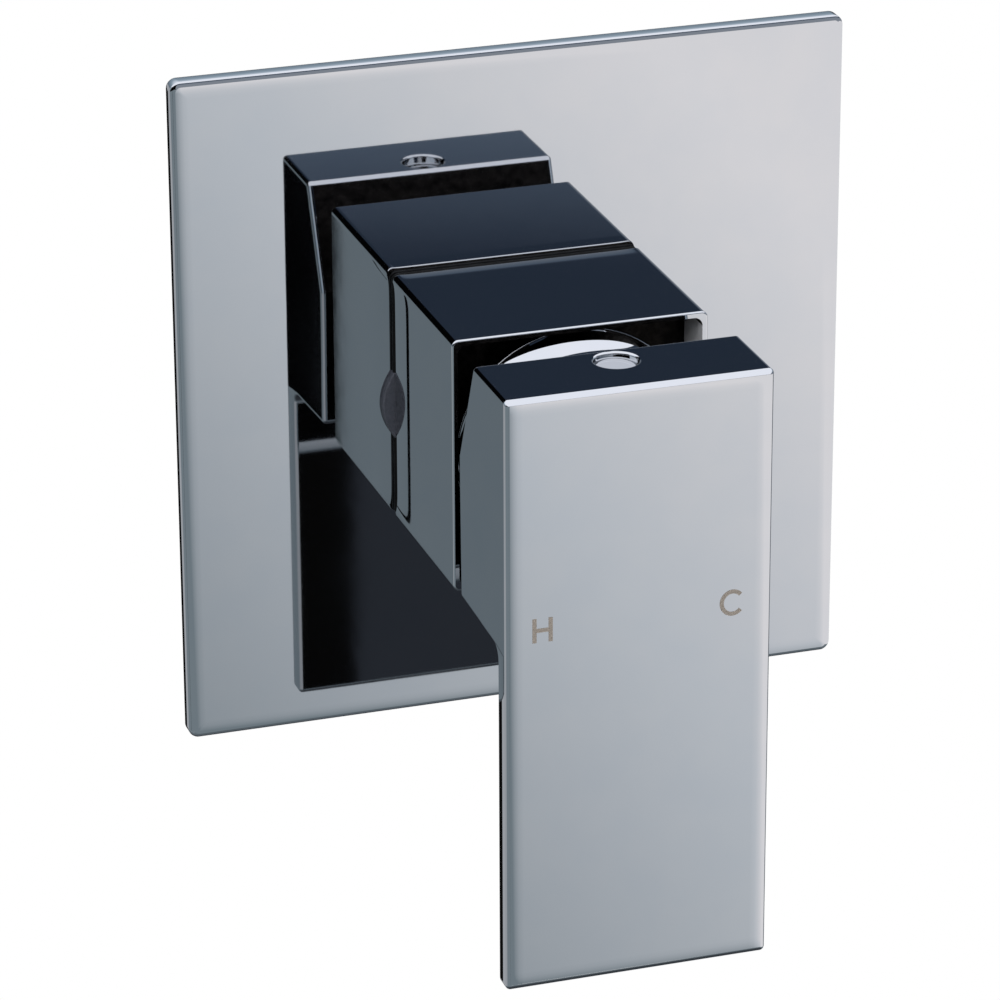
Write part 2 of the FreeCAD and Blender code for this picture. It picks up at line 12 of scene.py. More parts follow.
import bpy
import numpy as np
from mathutils import Matrix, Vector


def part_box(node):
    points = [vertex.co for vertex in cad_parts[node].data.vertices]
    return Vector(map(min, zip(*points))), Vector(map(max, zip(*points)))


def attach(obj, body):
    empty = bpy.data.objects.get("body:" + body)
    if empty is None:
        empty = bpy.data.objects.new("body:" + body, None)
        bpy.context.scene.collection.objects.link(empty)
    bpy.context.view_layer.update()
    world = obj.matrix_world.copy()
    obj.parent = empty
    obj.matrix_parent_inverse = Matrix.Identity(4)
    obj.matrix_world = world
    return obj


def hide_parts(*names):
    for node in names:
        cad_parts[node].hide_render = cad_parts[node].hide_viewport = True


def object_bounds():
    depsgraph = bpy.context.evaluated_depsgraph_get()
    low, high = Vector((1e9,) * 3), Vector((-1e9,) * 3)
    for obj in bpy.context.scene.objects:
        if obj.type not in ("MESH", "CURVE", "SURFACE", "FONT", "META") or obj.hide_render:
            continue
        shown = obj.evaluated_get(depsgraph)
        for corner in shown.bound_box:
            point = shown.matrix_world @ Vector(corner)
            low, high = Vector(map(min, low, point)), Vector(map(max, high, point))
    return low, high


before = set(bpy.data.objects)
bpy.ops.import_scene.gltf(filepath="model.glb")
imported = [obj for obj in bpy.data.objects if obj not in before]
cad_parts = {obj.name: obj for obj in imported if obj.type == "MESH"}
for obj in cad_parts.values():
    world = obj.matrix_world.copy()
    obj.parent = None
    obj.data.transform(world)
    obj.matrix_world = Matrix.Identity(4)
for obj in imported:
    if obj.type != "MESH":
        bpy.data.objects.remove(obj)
cad_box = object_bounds()

Array = np.ndarray
Surface = tuple[Array, Array]

LOG = logging.getLogger("mixer_tap")
MM = 0.001
WELD_MM = 1e-4
MERGE_MM = 2e-3
STRAIGHT = 1e-9
SHARP_DEGREES = 25.0
AROUND = 96
QUARTER = AROUND // 4
EDGE_STEPS = 8
WALL_COLUMNS = 49
DRAWN_ROWS = 18
CURVE_STEPS = 40
INK_FILM = 0.03
BORDER = np.array([0.0, 0.3, 0.6, 1.0])
OUT = np.array([0.0, -1.0, 0.0])
RIGHT = np.array([1.0, 0.0, 0.0])
UP = np.array([0.0, 0.0, 1.0])


def corners_of(node: str) -> Surface:
    """Lowest and highest corner of a CAD node in millimetres, to a hundredth of a micron."""
    low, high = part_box(node)
    return np.round(np.array(low) / MM, 5), np.round(np.array(high) / MM, 5)


def heights_of(node: str) -> tuple[float, float]:
    """Lowest and highest height of a CAD node out of the wall, in millimetres."""
    low, high = corners_of(node)
    return -high[1], -low[1]


def unit(vectors: Array) -> Array:
    """The same directions with length 1."""
    return vectors / np.linalg.norm(vectors, axis=-1, keepdims=True)


def pointing(angle: Array) -> Array:
    """Unit directions in a plane at given angles from its first axis."""
    return np.stack([np.cos(angle), np.sin(angle)], axis=-1)


def toward(azimuth: Array, elevation: Array) -> Array:
    """Unit directions from the part, by their angles round from its front and above the horizon."""
    level = np.cos(elevation)
    return np.stack([np.sin(azimuth) * level, -np.cos(azimuth) * level, np.sin(elevation)], axis=-1)


def quads_of(rows: int, columns: int) -> Array:
    """Corners of the quads between the neighbouring points of a grid, as quads x 4."""
    index = np.arange(rows * columns).reshape(rows, columns)
    return np.stack([index[:-1, :-1], index[1:, :-1], index[1:, 1:], index[:-1, 1:]], axis=-1).reshape(-1, 4)


@dataclass(frozen=True)
class Profile:
    """A line in a plane with the solid on its left, as points and the unit normals on its right.

    Attributes:
        points: n x 2 places in millimetres.
        normals: n x 2 unit normals that point out of the solid.
    """

    points: Array
    normals: Array

    def __add__(self, other: "Profile") -> "Profile":
        """One line after the other."""
        return Profile(np.concatenate([self.points, other.points]),
                       np.concatenate([self.normals, other.normals]))

    def part(self, first: int | None, last: int | None) -> "Profile":
        """A run of its points."""
        return Profile(self.points[first:last], self.normals[first:last])


def line_through(first: Array | float, second: Array | float, normals: Array | list[float]) -> Profile:
    """A line through places given by their two measures, with a normal for each of them or for all."""
    points = np.stack(np.broadcast_arrays(first, second), axis=-1)
    return Profile(points, np.broadcast_to(normals, points.shape))


def rounded(corners: list[tuple[float, float]], radii: list[float], closed: bool = False) -> list[Profile]:
    """Rounds the corners of an outline, each with an arc that is tangent to both of its sides.

    The arc starts the radius times the tangent of half the turn before the corner. Its normals swing through
    the turn in equal steps, and its points lie one radius along them from its centre. A sharp corner keeps
    two normals.

    Args:
        corners: the outline's corners, walked with the solid on the left.
        radii: the radius at each corner, 0 for a sharp one and at the ends of an open outline.
        closed: whether the last corner is joined to the first.

    Returns:
        One arc a corner; the straight sides lie between the end of an arc and the start of the next.
    """
    place = np.array(corners, float)
    ahead = unit(np.roll(place, -1, axis=0) - place)
    behind = np.roll(ahead, 1, axis=0)
    if not closed:
        behind[0], ahead[-1] = ahead[0], behind[-1]
    turn = np.arctan2(behind[:, 0] * ahead[:, 1] - behind[:, 1] * ahead[:, 0], (behind * ahead).sum(axis=1))
    first_normal = np.arctan2(-behind[:, 0], behind[:, 1])
    arcs = []
    for point, radius, swing, start, back in zip(place, radii, turn, first_normal, behind):
        steps = EDGE_STEPS if radius else int(abs(swing) > STRAIGHT)
        normals = pointing(start + swing * np.linspace(0, 1, steps + 1))
        reach = radius * np.sign(swing)
        begin = point - back * abs(radius * np.tan(swing / 2))
        arcs.append(Profile(begin + reach * (normals - normals[:1]), normals))
    return arcs


def leaned(arc: Profile, start: float, end: float, ease: float = 1.0) -> Profile:
    """An arc whose first and last normals already lean into the turn, as buffing leaves them beside an edge.

    Args:
        arc: the arc.
        start: lean of its first normal, in radians.
        end: lean of its last normal, in radians.
        ease: 1 for an even turn; above that the turn slows towards the end with this power.

    Returns:
        The same points with their normals spread over what is left of the turn.
    """
    angle = np.unwrap(np.arctan2(arc.normals[:, 1], arc.normals[:, 0]))
    way = np.sign(angle[-1] - angle[0])
    first, last = angle[0] + way * start, angle[-1] - way * end
    return Profile(arc.points, pointing(last + (first - last) * np.linspace(1, 0, len(angle)) ** ease))


def joined(arcs: list[Profile]) -> Profile:
    """All arcs of an outline as one line."""
    return Profile(np.concatenate([arc.points for arc in arcs]),
                   np.concatenate([arc.normals for arc in arcs]))


def section(corners: list[tuple[float, float]], radii: list[float] | None = None) -> Profile:
    """An open outline with rounded corners as one line, all of them sharp unless radii are given."""
    return joined(rounded(corners, radii or [0.0] * len(corners)))


def bowed(start: tuple[float, float], end: tuple[float, float], rise: float) -> Profile:
    """A shallow arc from one point to another that bulges to its right by a rise.

    With a half chord c and a rise s the radius is (c squared + s squared) / 2s, and the arc's half angle is
    the arc sine of c over the radius. A negative rise hollows the arc, its normals still on the right.

    Args:
        start: where it begins.
        end: where it ends.
        rise: how far its middle stands from the chord.

    Returns:
        The arc with its normals.
    """
    first, last = np.array(start, float), np.array(end, float)
    chord = last - first
    half = np.linalg.norm(chord) / 2
    radius = (half ** 2 + rise ** 2) / (2 * abs(rise))
    lean = np.arcsin(half / radius) * np.sign(rise)
    middle = np.arctan2(-chord[0], chord[1])
    normals = pointing(middle + lean * np.linspace(-1, 1, 2 * EDGE_STEPS + 1))
    return Profile(first + np.sign(rise) * radius * (normals - normals[:1]), normals)


@dataclass(frozen=True)
class Axis:
    """A line that profiles are turned about.

    Attributes:
        origin: a point on it.
        across: the direction of the first angle.
        aside: the direction a quarter turn on.
        along: the direction of the axis.
        phase: share of a step by which the first angle is moved on.
    """

    origin: Array
    across: Array
    aside: Array
    along: Array
    phase: float = 0.5

    def spokes(self) -> Array:
        """Unit directions round the axis, the first one again at the end."""
        angle = (np.arange(AROUND + 1) + self.phase) * 2 * np.pi / AROUND
        return np.cos(angle)[:, None] * self.across + np.sin(angle)[:, None] * self.aside

    def turned(self, profile: Profile) -> Surface:
        """Carries a profile of radius and place along the axis round a full turn.

        Args:
            profile: the line to turn, as radius and distance along the axis.

        Returns:
            Points and normals of the surface of revolution.
        """
        spokes = self.spokes()
        points = profile.points[:, 0, None, None] * spokes + profile.points[:, 1, None, None] * self.along
        normals = profile.normals[:, 0, None, None] * spokes + profile.normals[:, 1, None, None] * self.along
        return points + self.origin, normals


SPINDLE = Axis(np.zeros(3), RIGHT, UP, OUT)


def square_loop(half: Array, corner: Array) -> Surface:
    """Closed loops round squares with rounded corners, one loop a row.

    A corner is a quarter circle about the point one corner radius in from both sides, and a straight side is
    the gap between two quarters.

    Args:
        half: half of each square's side.
        corner: each square's corner radius.

    Returns:
        Points as rows x loop x (x, z), and one loop of normals that all rows share.
    """
    normals = pointing(np.pi / 2 * (np.arange(4)[:, None] + np.linspace(0, 1, QUARTER)).ravel())
    side = np.repeat([[1, 1], [-1, 1], [-1, -1], [1, -1]], QUARTER, axis=0)
    loops = (half - corner)[:, None, None] * side + corner[:, None, None] * normals
    return np.concatenate([loops, loops[:, :1]], axis=1), np.concatenate([normals, normals[:1]])


def in_space(across: Array, height: Array | float, up: Array) -> Array:
    """Points from their places across, out of the wall and up."""
    return np.stack(np.broadcast_arrays(across, -np.asarray(height, float), up), axis=-1)


def round_square(profile: Profile, corner: Array) -> Surface:
    """Carries a profile of half side and height round squares with rounded corners.

    Args:
        profile: half side and height out of the wall.
        corner: corner radius at each of its points.

    Returns:
        Points and normals of the surface.
    """
    loops, flat = square_loop(profile.points[:, 0], corner)
    points = in_space(loops[..., 0], profile.points[:, 1, None], loops[..., 1])
    outward = in_space(flat[:, 0], 0.0, flat[:, 1])
    normals = profile.normals[:, 0, None, None] * outward + profile.normals[:, 1, None, None] * OUT
    return points, normals


def square_to_circle(half: float, corner: float, radius: float, height: float, facing: float) -> Surface:
    """A flat ring from a rounded square to a round hole, facing out of the wall (1) or into it (-1).

    Args:
        half: half of the square's side.
        corner: the square's corner radius.
        radius: the hole's radius.
        height: the ring's height out of the wall.
        facing: which way it faces.

    Returns:
        Points and normals of the ring.
    """
    loops, _ = square_loop(np.array([half]), np.array([corner]))
    spokes = radius * SPINDLE.spokes()
    rows = np.stack([in_space(loops[0, :, 0], height, loops[0, :, 1]),
                     in_space(spokes[:, 0], height, spokes[:, 2])])
    return rows, facing * OUT


class Patchwork:
    """Patches of surface welded along their shared edges into one closed mesh.

    Every patch brings its outward normals, so a flat stays a true mirror up to the line where its rounded
    edge begins.
    """

    def __init__(self) -> None:
        """Starts with no patch."""
        self._points: list[Array] = []
        self._normals: list[Array] = []
        self._faces: list[Array] = []
        self._coats: list[int] = []
        self._count = 0

    def grid(self, surface: Surface, coat: int = 0) -> None:
        """Adds quads between the neighbouring points of a grid.

        Args:
            surface: points as rows x columns x 3, and a normal for each of them or for all.
            coat: which of the piece's finishes it takes.
        """
        points, normals = surface
        normals = np.broadcast_to(normals, points.shape)
        self._add(points.reshape(-1, 3), normals.reshape(-1, 3), quads_of(*points.shape[:2]), coat)

    def flat(self, outline: Array, normal: Array, coat: int = 0) -> None:
        """Adds one flat face inside a closed outline.

        Args:
            outline: its corners in order, n x 3.
            normal: the way it faces, or one for each corner.
            coat: which of the piece's finishes it takes.
        """
        self._add(outline, np.broadcast_to(normal, outline.shape), np.arange(len(outline))[None], coat)

    def _add(self, points: Array, normals: Array, faces: Array, coat: int) -> None:
        """Stores a patch, turned over where the cross products of its corners oppose its normals.

        Args:
            points: its places, n x 3.
            normals: a normal for each of them.
            faces: corners of its faces, as indices of its places.
            coat: which of the piece's finishes it takes.
        """
        ring = points[faces] - points[faces].mean(axis=1, keepdims=True)
        area = np.cross(ring, np.roll(ring, -1, axis=1)).sum(axis=1)
        agrees = (area * normals[faces].mean(axis=1)).sum() > 0
        self._faces.append(self._count + (faces if agrees else faces[:, ::-1]))
        self._points.append(points)
        self._normals.append(normals)
        self._coats.append(coat)
        self._count += len(points)

    def mesh(self, name: str) -> bpy.types.Mesh:
        """Welds points that share a place, drops the corners and faces that vanish, and keeps every normal.

        Args:
            name: the mesh's name.

        Returns:
            The mesh in metres with its own corner normals.
        """
        points, normals = np.concatenate(self._points), np.concatenate(self._normals)
        places = np.round(points / WELD_MM).astype(np.int64)
        _, first, welded = np.unique(places, axis=0, return_index=True, return_inverse=True)
        welded = welded.reshape(-1)
        corners, totals, coats = [], [], []
        for faces, coat in zip(self._faces, self._coats):
            keep = welded[faces] != np.roll(welded[faces], 1, axis=1)
            keep &= (keep.sum(axis=1) > 2)[:, None]
            corners.append(faces[keep])
            totals.append(keep.sum(axis=1))
            coats.append(np.full(len(faces), coat))
        corner, total, coat = np.concatenate(corners), np.concatenate(totals), np.concatenate(coats)
        coat, total = coat[total > 0], total[total > 0]
        mesh = bpy.data.meshes.new(name)
        mesh.vertices.add(len(first))
        mesh.vertices.foreach_set("co", (points[first] * MM).astype(np.float32).ravel())
        mesh.loops.add(len(corner))
        mesh.loops.foreach_set("vertex_index", welded[corner].astype(np.int32))
        mesh.polygons.add(len(total))
        mesh.polygons.foreach_set("loop_start", (np.cumsum(total) - total).astype(np.int32))
        mesh.polygons.foreach_set("use_smooth", np.ones(len(total), bool))
        mesh.polygons.foreach_set("material_index", coat.astype(np.int32))
        mesh.update(calc_edges=True)
        mesh.normals_split_custom_set(normals[corner].tolist())
        return mesh


def linear(code: str) -> tuple[float, float, float, float]:
    """Linear colour of an sRGB hex code, by the standard curve.

    Args:
        code: the hex code, with its leading sign.

    Returns:
        Red, green, blue and an alpha of 1.
    """
    value = np.array([int(code[place:place + 2], 16) for place in (1, 3, 5)]) / 255
    red, green, blue = np.where(value <= 0.04045, value / 12.92, ((value + 0.055) / 1.055) ** 2.4).tolist()
    return red, green, blue, 1.0


def node_tree(owner: bpy.types.Material | bpy.types.World) -> bpy.types.NodeTree:
    """Empties the node tree of a material or a world.

    Args:
        owner: the material or world.

    Returns:
        Its tree, ready to be filled.
    """
    owner.use_nodes = True
    owner.node_tree.nodes.clear()
    return owner.node_tree


def put(name: str, data: bpy.types.ID) -> bpy.types.Object:
    """Puts a new object into the scene.

    Args:
        name: the object's name.
        data: the mesh, light or camera that it shows.

    Returns:
        The object.
    """
    made = bpy.data.objects.new(name, data)
    bpy.context.scene.collection.objects.link(made)
    return made


def stand(item: bpy.types.Object, right: Array, up: Array, back: Array, place: Array) -> None:
    """Stands a lamp or a camera in its place, with its own three directions."""
    item.matrix_world = Matrix(np.column_stack([right, up, back, place]).tolist() + [[0, 0, 0, 1]])


def add_node(tree: bpy.types.NodeTree, kind: str, inputs: dict | None = None,
             **settings: object) -> bpy.types.Node:
    """Adds a node with its settings and inputs.

    Args:
        tree: where it goes.
        kind: Blender's name for it.
        inputs: values by socket; a socket given as a value is linked.
        settings: the node's own properties.

    Returns:
        The new node.
    """
    node = tree.nodes.new(kind)
    for name, value in settings.items():
        setattr(node, name, value)
    for name, value in (inputs or {}).items():
        if isinstance(value, bpy.types.NodeSocket):
            tree.links.new(value, node.inputs[name])
        else:
            node.inputs[name].default_value = value
    return node


# A noise node's values mostly lie in this span, a wave node at scale 1 has one ring in this length, and the
# clouds in a finish are this many grains wide.
NOISE_SPAN = {"From Min": 0.3, "From Max": 0.7}
WAVE_PERIOD = 0.314
CLOUD_GRAINS = 5.0


class Making(Enum):
    """How a surface was made, which decides the pattern that it shows."""

    BUFFED = "buffed"
    SAND_CAST = "sand cast"
    TURNED = "turned"
    MOULDED = "moulded"
    FOAMED = "foamed"


@dataclass(frozen=True)
class Finish:
    """A material by its common name and by how its surface was made.

    Attributes:
        name: the material's name.
        making: which pattern it shows.
        light: sRGB colour of most of the surface.
        dark: sRGB colour of its hollows or stains.
        roughness: lowest and highest roughness.
        grain: size of the pattern in millimetres.
        relief: depth of the pattern in millimetres.
        metallic: 1 for bare metal.
        ior: refractive index; a metal keeps the default.
    """

    name: str
    making: Making
    light: str
    dark: str
    roughness: tuple[float, float]
    grain: float
    relief: float
    metallic: float = 0.0
    ior: float = 1.5

    def material(self) -> bpy.types.Material:
        """Builds the nodes: a pattern in object space colours, roughens and embosses one surface shader.

        Returns:
            The material.
        """
        made = bpy.data.materials.new(self.name)
        tree = node_tree(made)
        place = add_node(tree, "ShaderNodeTexCoord").outputs["Object"]
        pattern = self._pattern(tree, place)
        cloud = add_node(tree, "ShaderNodeTexNoise",
                         {"Vector": place, "Scale": 1 / (CLOUD_GRAINS * self.grain * MM), "Detail": 3.0})
        colour = add_node(tree, "ShaderNodeMix",
                          {"Factor": pattern, "A": linear(self.dark), "B": linear(self.light)},
                          data_type="RGBA")
        low, high = self.roughness
        rough = add_node(tree, "ShaderNodeMapRange",
                         {"Value": cloud.outputs["Fac"], **NOISE_SPAN, "To Min": low, "To Max": high})
        bump = add_node(tree, "ShaderNodeBump", {"Height": pattern, "Distance": self.relief * MM})
        surface = add_node(tree, "ShaderNodeBsdfPrincipled",
                           {"Base Color": colour.outputs["Result"], "Roughness": rough.outputs["Result"],
                            "Normal": bump.outputs["Normal"], "Metallic": self.metallic})
        if not self.metallic:
            surface.inputs["IOR"].default_value = self.ior
        add_node(tree, "ShaderNodeOutputMaterial", {"Surface": surface.outputs["BSDF"]})
        return made

    def _pattern(self, tree: bpy.types.NodeTree, place: bpy.types.NodeSocket) -> bpy.types.NodeSocket:
        """Adds the pattern, sized by the grain.

        Args:
            tree: where its nodes go.
            place: where it is read.

        Returns:
            Its value, from 0 in the hollows to 1 on the crests.
        """
        scale = 1 / (self.grain * MM)
        if self.making is Making.TURNED:
            rings = add_node(tree, "ShaderNodeTexWave",
                             {"Vector": place, "Scale": WAVE_PERIOD * scale, "Distortion": 0.4},
                             wave_type="RINGS", rings_direction="Y")
            return rings.outputs["Fac"]
        if self.making is Making.FOAMED:
            cells = add_node(tree, "ShaderNodeTexVoronoi", {"Vector": place, "Scale": scale},
                             feature="SMOOTH_F1")
            return cells.outputs["Distance"]
        detail = 8.0 if self.making is Making.SAND_CAST else 2.0
        grains = add_node(tree, "ShaderNodeTexNoise", {"Vector": place, "Scale": scale, "Detail": detail})
        crests = add_node(tree, "ShaderNodeMapRange", {"Value": grains.outputs["Fac"], **NOISE_SPAN})
        return crests.outputs["Result"]


# Chromium plate over buffed brass: a clear cool mirror with the faintest haze and no grain to see.
CHROME = Finish("chromium_plate", Making.BUFFED, "#D2D3D5", "#CFD1D4",
                (0.012, 0.03), 9.0, 0.0006, metallic=1.0)
# Bare zinc of the die casting, dulled by the plating bath: a pale matt grey with no image in it.
DULL_ZINC = Finish("bare_zinc_casting", Making.SAND_CAST, "#D3D4D8", "#C9CBCF", (0.45, 0.6), 1.0, 0.02)
# Painted shade: a brown black metal with a cast skin, put where shade falls in the sleeve and behind the
# handle.
PAINTED_SHADE_ON_CASTING = Finish("painted_shade_on_casting", Making.SAND_CAST, "#2B2826", "#171615",
                     (0.3, 0.45), 1.6, 0.06, metallic=1.0)
# Nickel plate on the turned neck: a warm grey with the tool's rings.
NICKEL = Finish("nickel_plated_neck", Making.TURNED, "#B5B3AD", "#A3A19B",
                (0.16, 0.24), 0.5, 0.01, metallic=1.0)
# Sand-cast dezincification-resistant brass: a dull warm yellow with a gritty skin and browner hollows.
CAST_BRASS = Finish("sand_cast_brass", Making.SAND_CAST, "#C9A766", "#A98648",
                    (0.34, 0.5), 1.3, 0.12, metallic=1.0)
# Turned brass: brighter than the casting, with fine rings from the tool.
TURNED_BRASS = Finish("turned_brass", Making.TURNED, "#D8B873", "#C6A25C",
                      (0.2, 0.3), 0.5, 0.02, metallic=1.0)
# Ground stainless steel for pin and screw: grey, bright and slightly streaked.
STEEL = Finish("ground_stainless_steel", Making.TURNED, "#C3C4C6", "#A9ABAE",
               (0.2, 0.32), 0.3, 0.008, metallic=1.0)
# Lapped alumina ceramic: an ivory white with a glassy face.
ALUMINA = Finish("lapped_alumina", Making.MOULDED, "#EFEDE6", "#E6E2D8", (0.1, 0.18), 2.0, 0.004, ior=1.76)
# Injection-moulded acetal, natural white: satin, slightly waxy.
WHITE_ACETAL = Finish("moulded_white_acetal", Making.MOULDED, "#EDEDE8", "#E4E4DE",
                      (0.32, 0.42), 0.6, 0.01, ior=1.48)
# Injection-moulded acetal, mid grey: satin, slightly waxy.
GREY_ACETAL = Finish("moulded_grey_acetal", Making.MOULDED, "#8E9296", "#84888C",
                     (0.34, 0.46), 0.6, 0.01, ior=1.48)
# Glass-filled nylon, black: satin with a faint flow mottle.
BLACK_NYLON = Finish("moulded_black_nylon", Making.MOULDED, "#26272A", "#1D1E20",
                     (0.4, 0.55), 0.5, 0.015, ior=1.53)
# Moulded EPDM rubber: near black and soft, with a dry bloom; darker than the rubber itself as painted shade,
# so the joint behind the sleeve reads as shadow.
NEAR_BLACK_AND_PAINTED_SHADE = Finish("black_rubber_and_painted_shade", Making.MOULDED, "#0B0B0C", "#080808", (0.5, 0.65), 0.5, 0.01, ior=1.3)
# The same rubber painted lighter on its tongue, where it stands out of the joint into the light: painted
# light.
PAINTED_LIGHT_TONGUE = Finish("black_rubber_painted_light", Making.MOULDED, "#4A4D57", "#3F424B",
                      (0.45, 0.6), 0.5, 0.01, ior=1.45)
# Nitrile seal rubber: a red brown near black, slightly greasy from the silicone that it is fitted with.
SEAL_RUBBER = Finish("greased_nitrile_rubber", Making.MOULDED, "#59382F", "#4A2E27",
                     (0.28, 0.4), 0.5, 0.01, ior=1.52)
# Closed-cell polyethylene foam: pale grey and matt with visible cells.
FOAM = Finish("closed_cell_foam", Making.FOAMED, "#D9DADB", "#B9BBBD", (0.75, 0.9), 1.1, 0.2, ior=1.49)
# Pad-printed taupe ink: matt, thin and a little uneven.
INK = Finish("pad_printed_ink", Making.MOULDED, "#9B9289", "#8F867D", (0.45, 0.6), 0.4, 0.004)


class Workshop:
    """Makes each finish once and turns finished shapes into pieces of the part."""

    def __init__(self) -> None:
        """Starts with no finish made."""
        self._made: dict[str, bpy.types.Material] = {}
        self._smoothing = self._smoothing_group()

    def material(self, finish: Finish) -> bpy.types.Material:
        """Builds a finish's material the first time it is asked for.

        Args:
            finish: the finish.

        Returns:
            Its material.
        """
        if finish.name not in self._made:
            self._made[finish.name] = finish.material()
        return self._made[finish.name]

    def piece(self, name: str, shape: Patchwork, finishes: tuple[Finish, ...], body: str,
              stands_for: str | None = None) -> None:
        """Puts a shape into the scene as a piece that moves with a body.

        Args:
            name: the piece's name.
            shape: its patches.
            finishes: its finishes, in the order of its coats.
            body: the body that carries it.
            stands_for: the CAD node that it replaces, if any.
        """
        mesh = shape.mesh(name)
        for finish in finishes:
            mesh.materials.append(self.material(finish))
        made = put(name, mesh)
        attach(made, body)
        if stands_for:
            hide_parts(stands_for)
        LOG.info("%s rides on %s with %d faces", name, body, len(mesh.polygons))

    def dress(self, node: str, finish: Finish) -> None:
        """Gives a CAD node its finish, and smooth shading between its sharp edges.

        Args:
            node: the CAD node's name.
            finish: what it wears.
        """
        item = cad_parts[node]
        item.data.materials.clear()
        item.data.materials.append(self.material(finish))
        smooth = item.modifiers.new("smooth_between_edges", "NODES")
        smooth.node_group = self._smoothing
        weighted = item.modifiers.new("flat_faces_lead", "WEIGHTED_NORMAL")
        weighted.keep_sharp = True
        LOG.info("%s is dressed in %s", node, finish.name)

    @staticmethod
    def _smoothing_group() -> bpy.types.NodeTree:
        """Merges a mesh's loose triangles and smooths every edge that turns by less than a sharp one.

        Returns:
            The node group, for a modifier.
        """
        group = bpy.data.node_groups.new("smooth_between_edges", "GeometryNodeTree")
        group.interface.new_socket("Geometry", in_out="INPUT", socket_type="NodeSocketGeometry")
        group.interface.new_socket("Geometry", in_out="OUTPUT", socket_type="NodeSocketGeometry")
        start = add_node(group, "NodeGroupInput")
        merged = add_node(group, "GeometryNodeMergeByDistance",
                          {"Geometry": start.outputs["Geometry"], "Distance": MERGE_MM * MM})
        angle = add_node(group, "GeometryNodeInputMeshEdgeAngle")
        sharp = add_node(group, "FunctionNodeCompare",
                         {"A": angle.outputs["Unsigned Angle"], "B": np.radians(SHARP_DEGREES)},
                         operation="GREATER_THAN")
        faces = add_node(group, "GeometryNodeSetShadeSmooth",
                         {"Geometry": merged.outputs["Geometry"], "Shade Smooth": True}, domain="FACE")
        edges = add_node(group, "GeometryNodeSetShadeSmooth",
                         {"Geometry": faces.outputs["Geometry"], "Selection": sharp.outputs["Result"],
                          "Shade Smooth": False}, domain="EDGE")
        add_node(group, "NodeGroupOutput", {"Geometry": edges.outputs["Geometry"]})
        return group


@dataclass
class WallPlate:
    """Pressed square plate with returned edges, and the foam and ring behind it.

    Attributes:
        half: half of its side.
        depth: how far it stands out of the wall.
        hole: radius of its round hole.
        wall: thickness of the sheet.
        corner: radius of its corners.
        edge_round: radius of its front edge.
        rear_round: radius where it meets the wall.
        collar_standoff: height at which the hole's collar ends.
        border: width of the strip along its edge that buffing has rolled off, more with the square of the
            way.
        lean: how far the face leans over at the end of that strip, in degrees.
        edge_lean: how far its front edge already leans where it leaves the face, in degrees.
        edge_ease: power with which that edge then turns away, slowly beside the face.
        side_lean: how far its sides lean back at the wall, in degrees.
    """

    half: float
    depth: float
    hole: float = 20.4
    wall: float = 1.5
    corner: float = 1.8
    edge_round: float = 0.8
    rear_round: float = 1.0
    collar_standoff: float = 0.75
    border: float = 2.2
    lean: float = 3.4
    edge_lean: float = 11.0
    edge_ease: float = 3.1
    side_lean: float = 8.0

    @classmethod
    def from_frame(cls) -> "WallPlate":
        """The plate at the size of its CAD node."""
        return cls(half=corners_of("wall_plate")[1][0], depth=heights_of("wall_plate")[1])

    def shape(self) -> Patchwork:
        """Carries the edge's section round the square and the collar's round the hole, with flats between.

        Returns:
            The plate's patches.
        """
        inner, floor = self.half - self.wall, self.depth - self.wall
        front = self.half - self.edge_round
        arcs = rounded([(inner, floor), (inner, 0), (self.half, 0), (self.half, self.depth),
                        (front, self.depth)], [0, 0, self.rear_round, self.edge_round, 0])
        arcs[2] = leaned(arcs[2], 0.0, np.radians(self.side_lean))
        arcs[3] = leaned(arcs[3], 0.0, np.radians(self.edge_lean), self.edge_ease)
        leans = np.radians(self.lean) * (1 - BORDER) ** 2
        strip = line_through(front - self.border * BORDER, self.depth,
                             np.stack([np.sin(leans), np.cos(leans)], axis=-1))
        edge = joined(arcs[:4]) + strip
        made = Patchwork()
        corner = np.maximum(self.corner - (self.half - edge.points[:, 0]), self.corner - self.wall)
        made.grid(round_square(edge, corner))
        made.grid(square_to_circle(front - self.border, corner[-1], self.hole, self.depth, 1))
        collar, end = self.hole + self.wall, self.collar_standoff
        lip = section([(self.hole, self.depth), (self.hole, end), (collar, end), (collar, floor)])
        made.grid(SPINDLE.turned(lip))
        made.grid(square_to_circle(inner, self.corner - self.wall, collar, floor, -1))
        return made

    def build(self, shop: Workshop) -> None:
        """Makes the plate and dresses the gasket and the ring behind it.

        Args:
            shop: what makes the pieces and dresses them.
        """
        shop.piece("polished_wall_plate", self.shape(), (CHROME,), "mixer", "wall_plate")
        shop.dress("plate_gasket", FOAM)
        shop.dress("neck_o_ring", NEAR_BLACK_AND_PAINTED_SHADE)


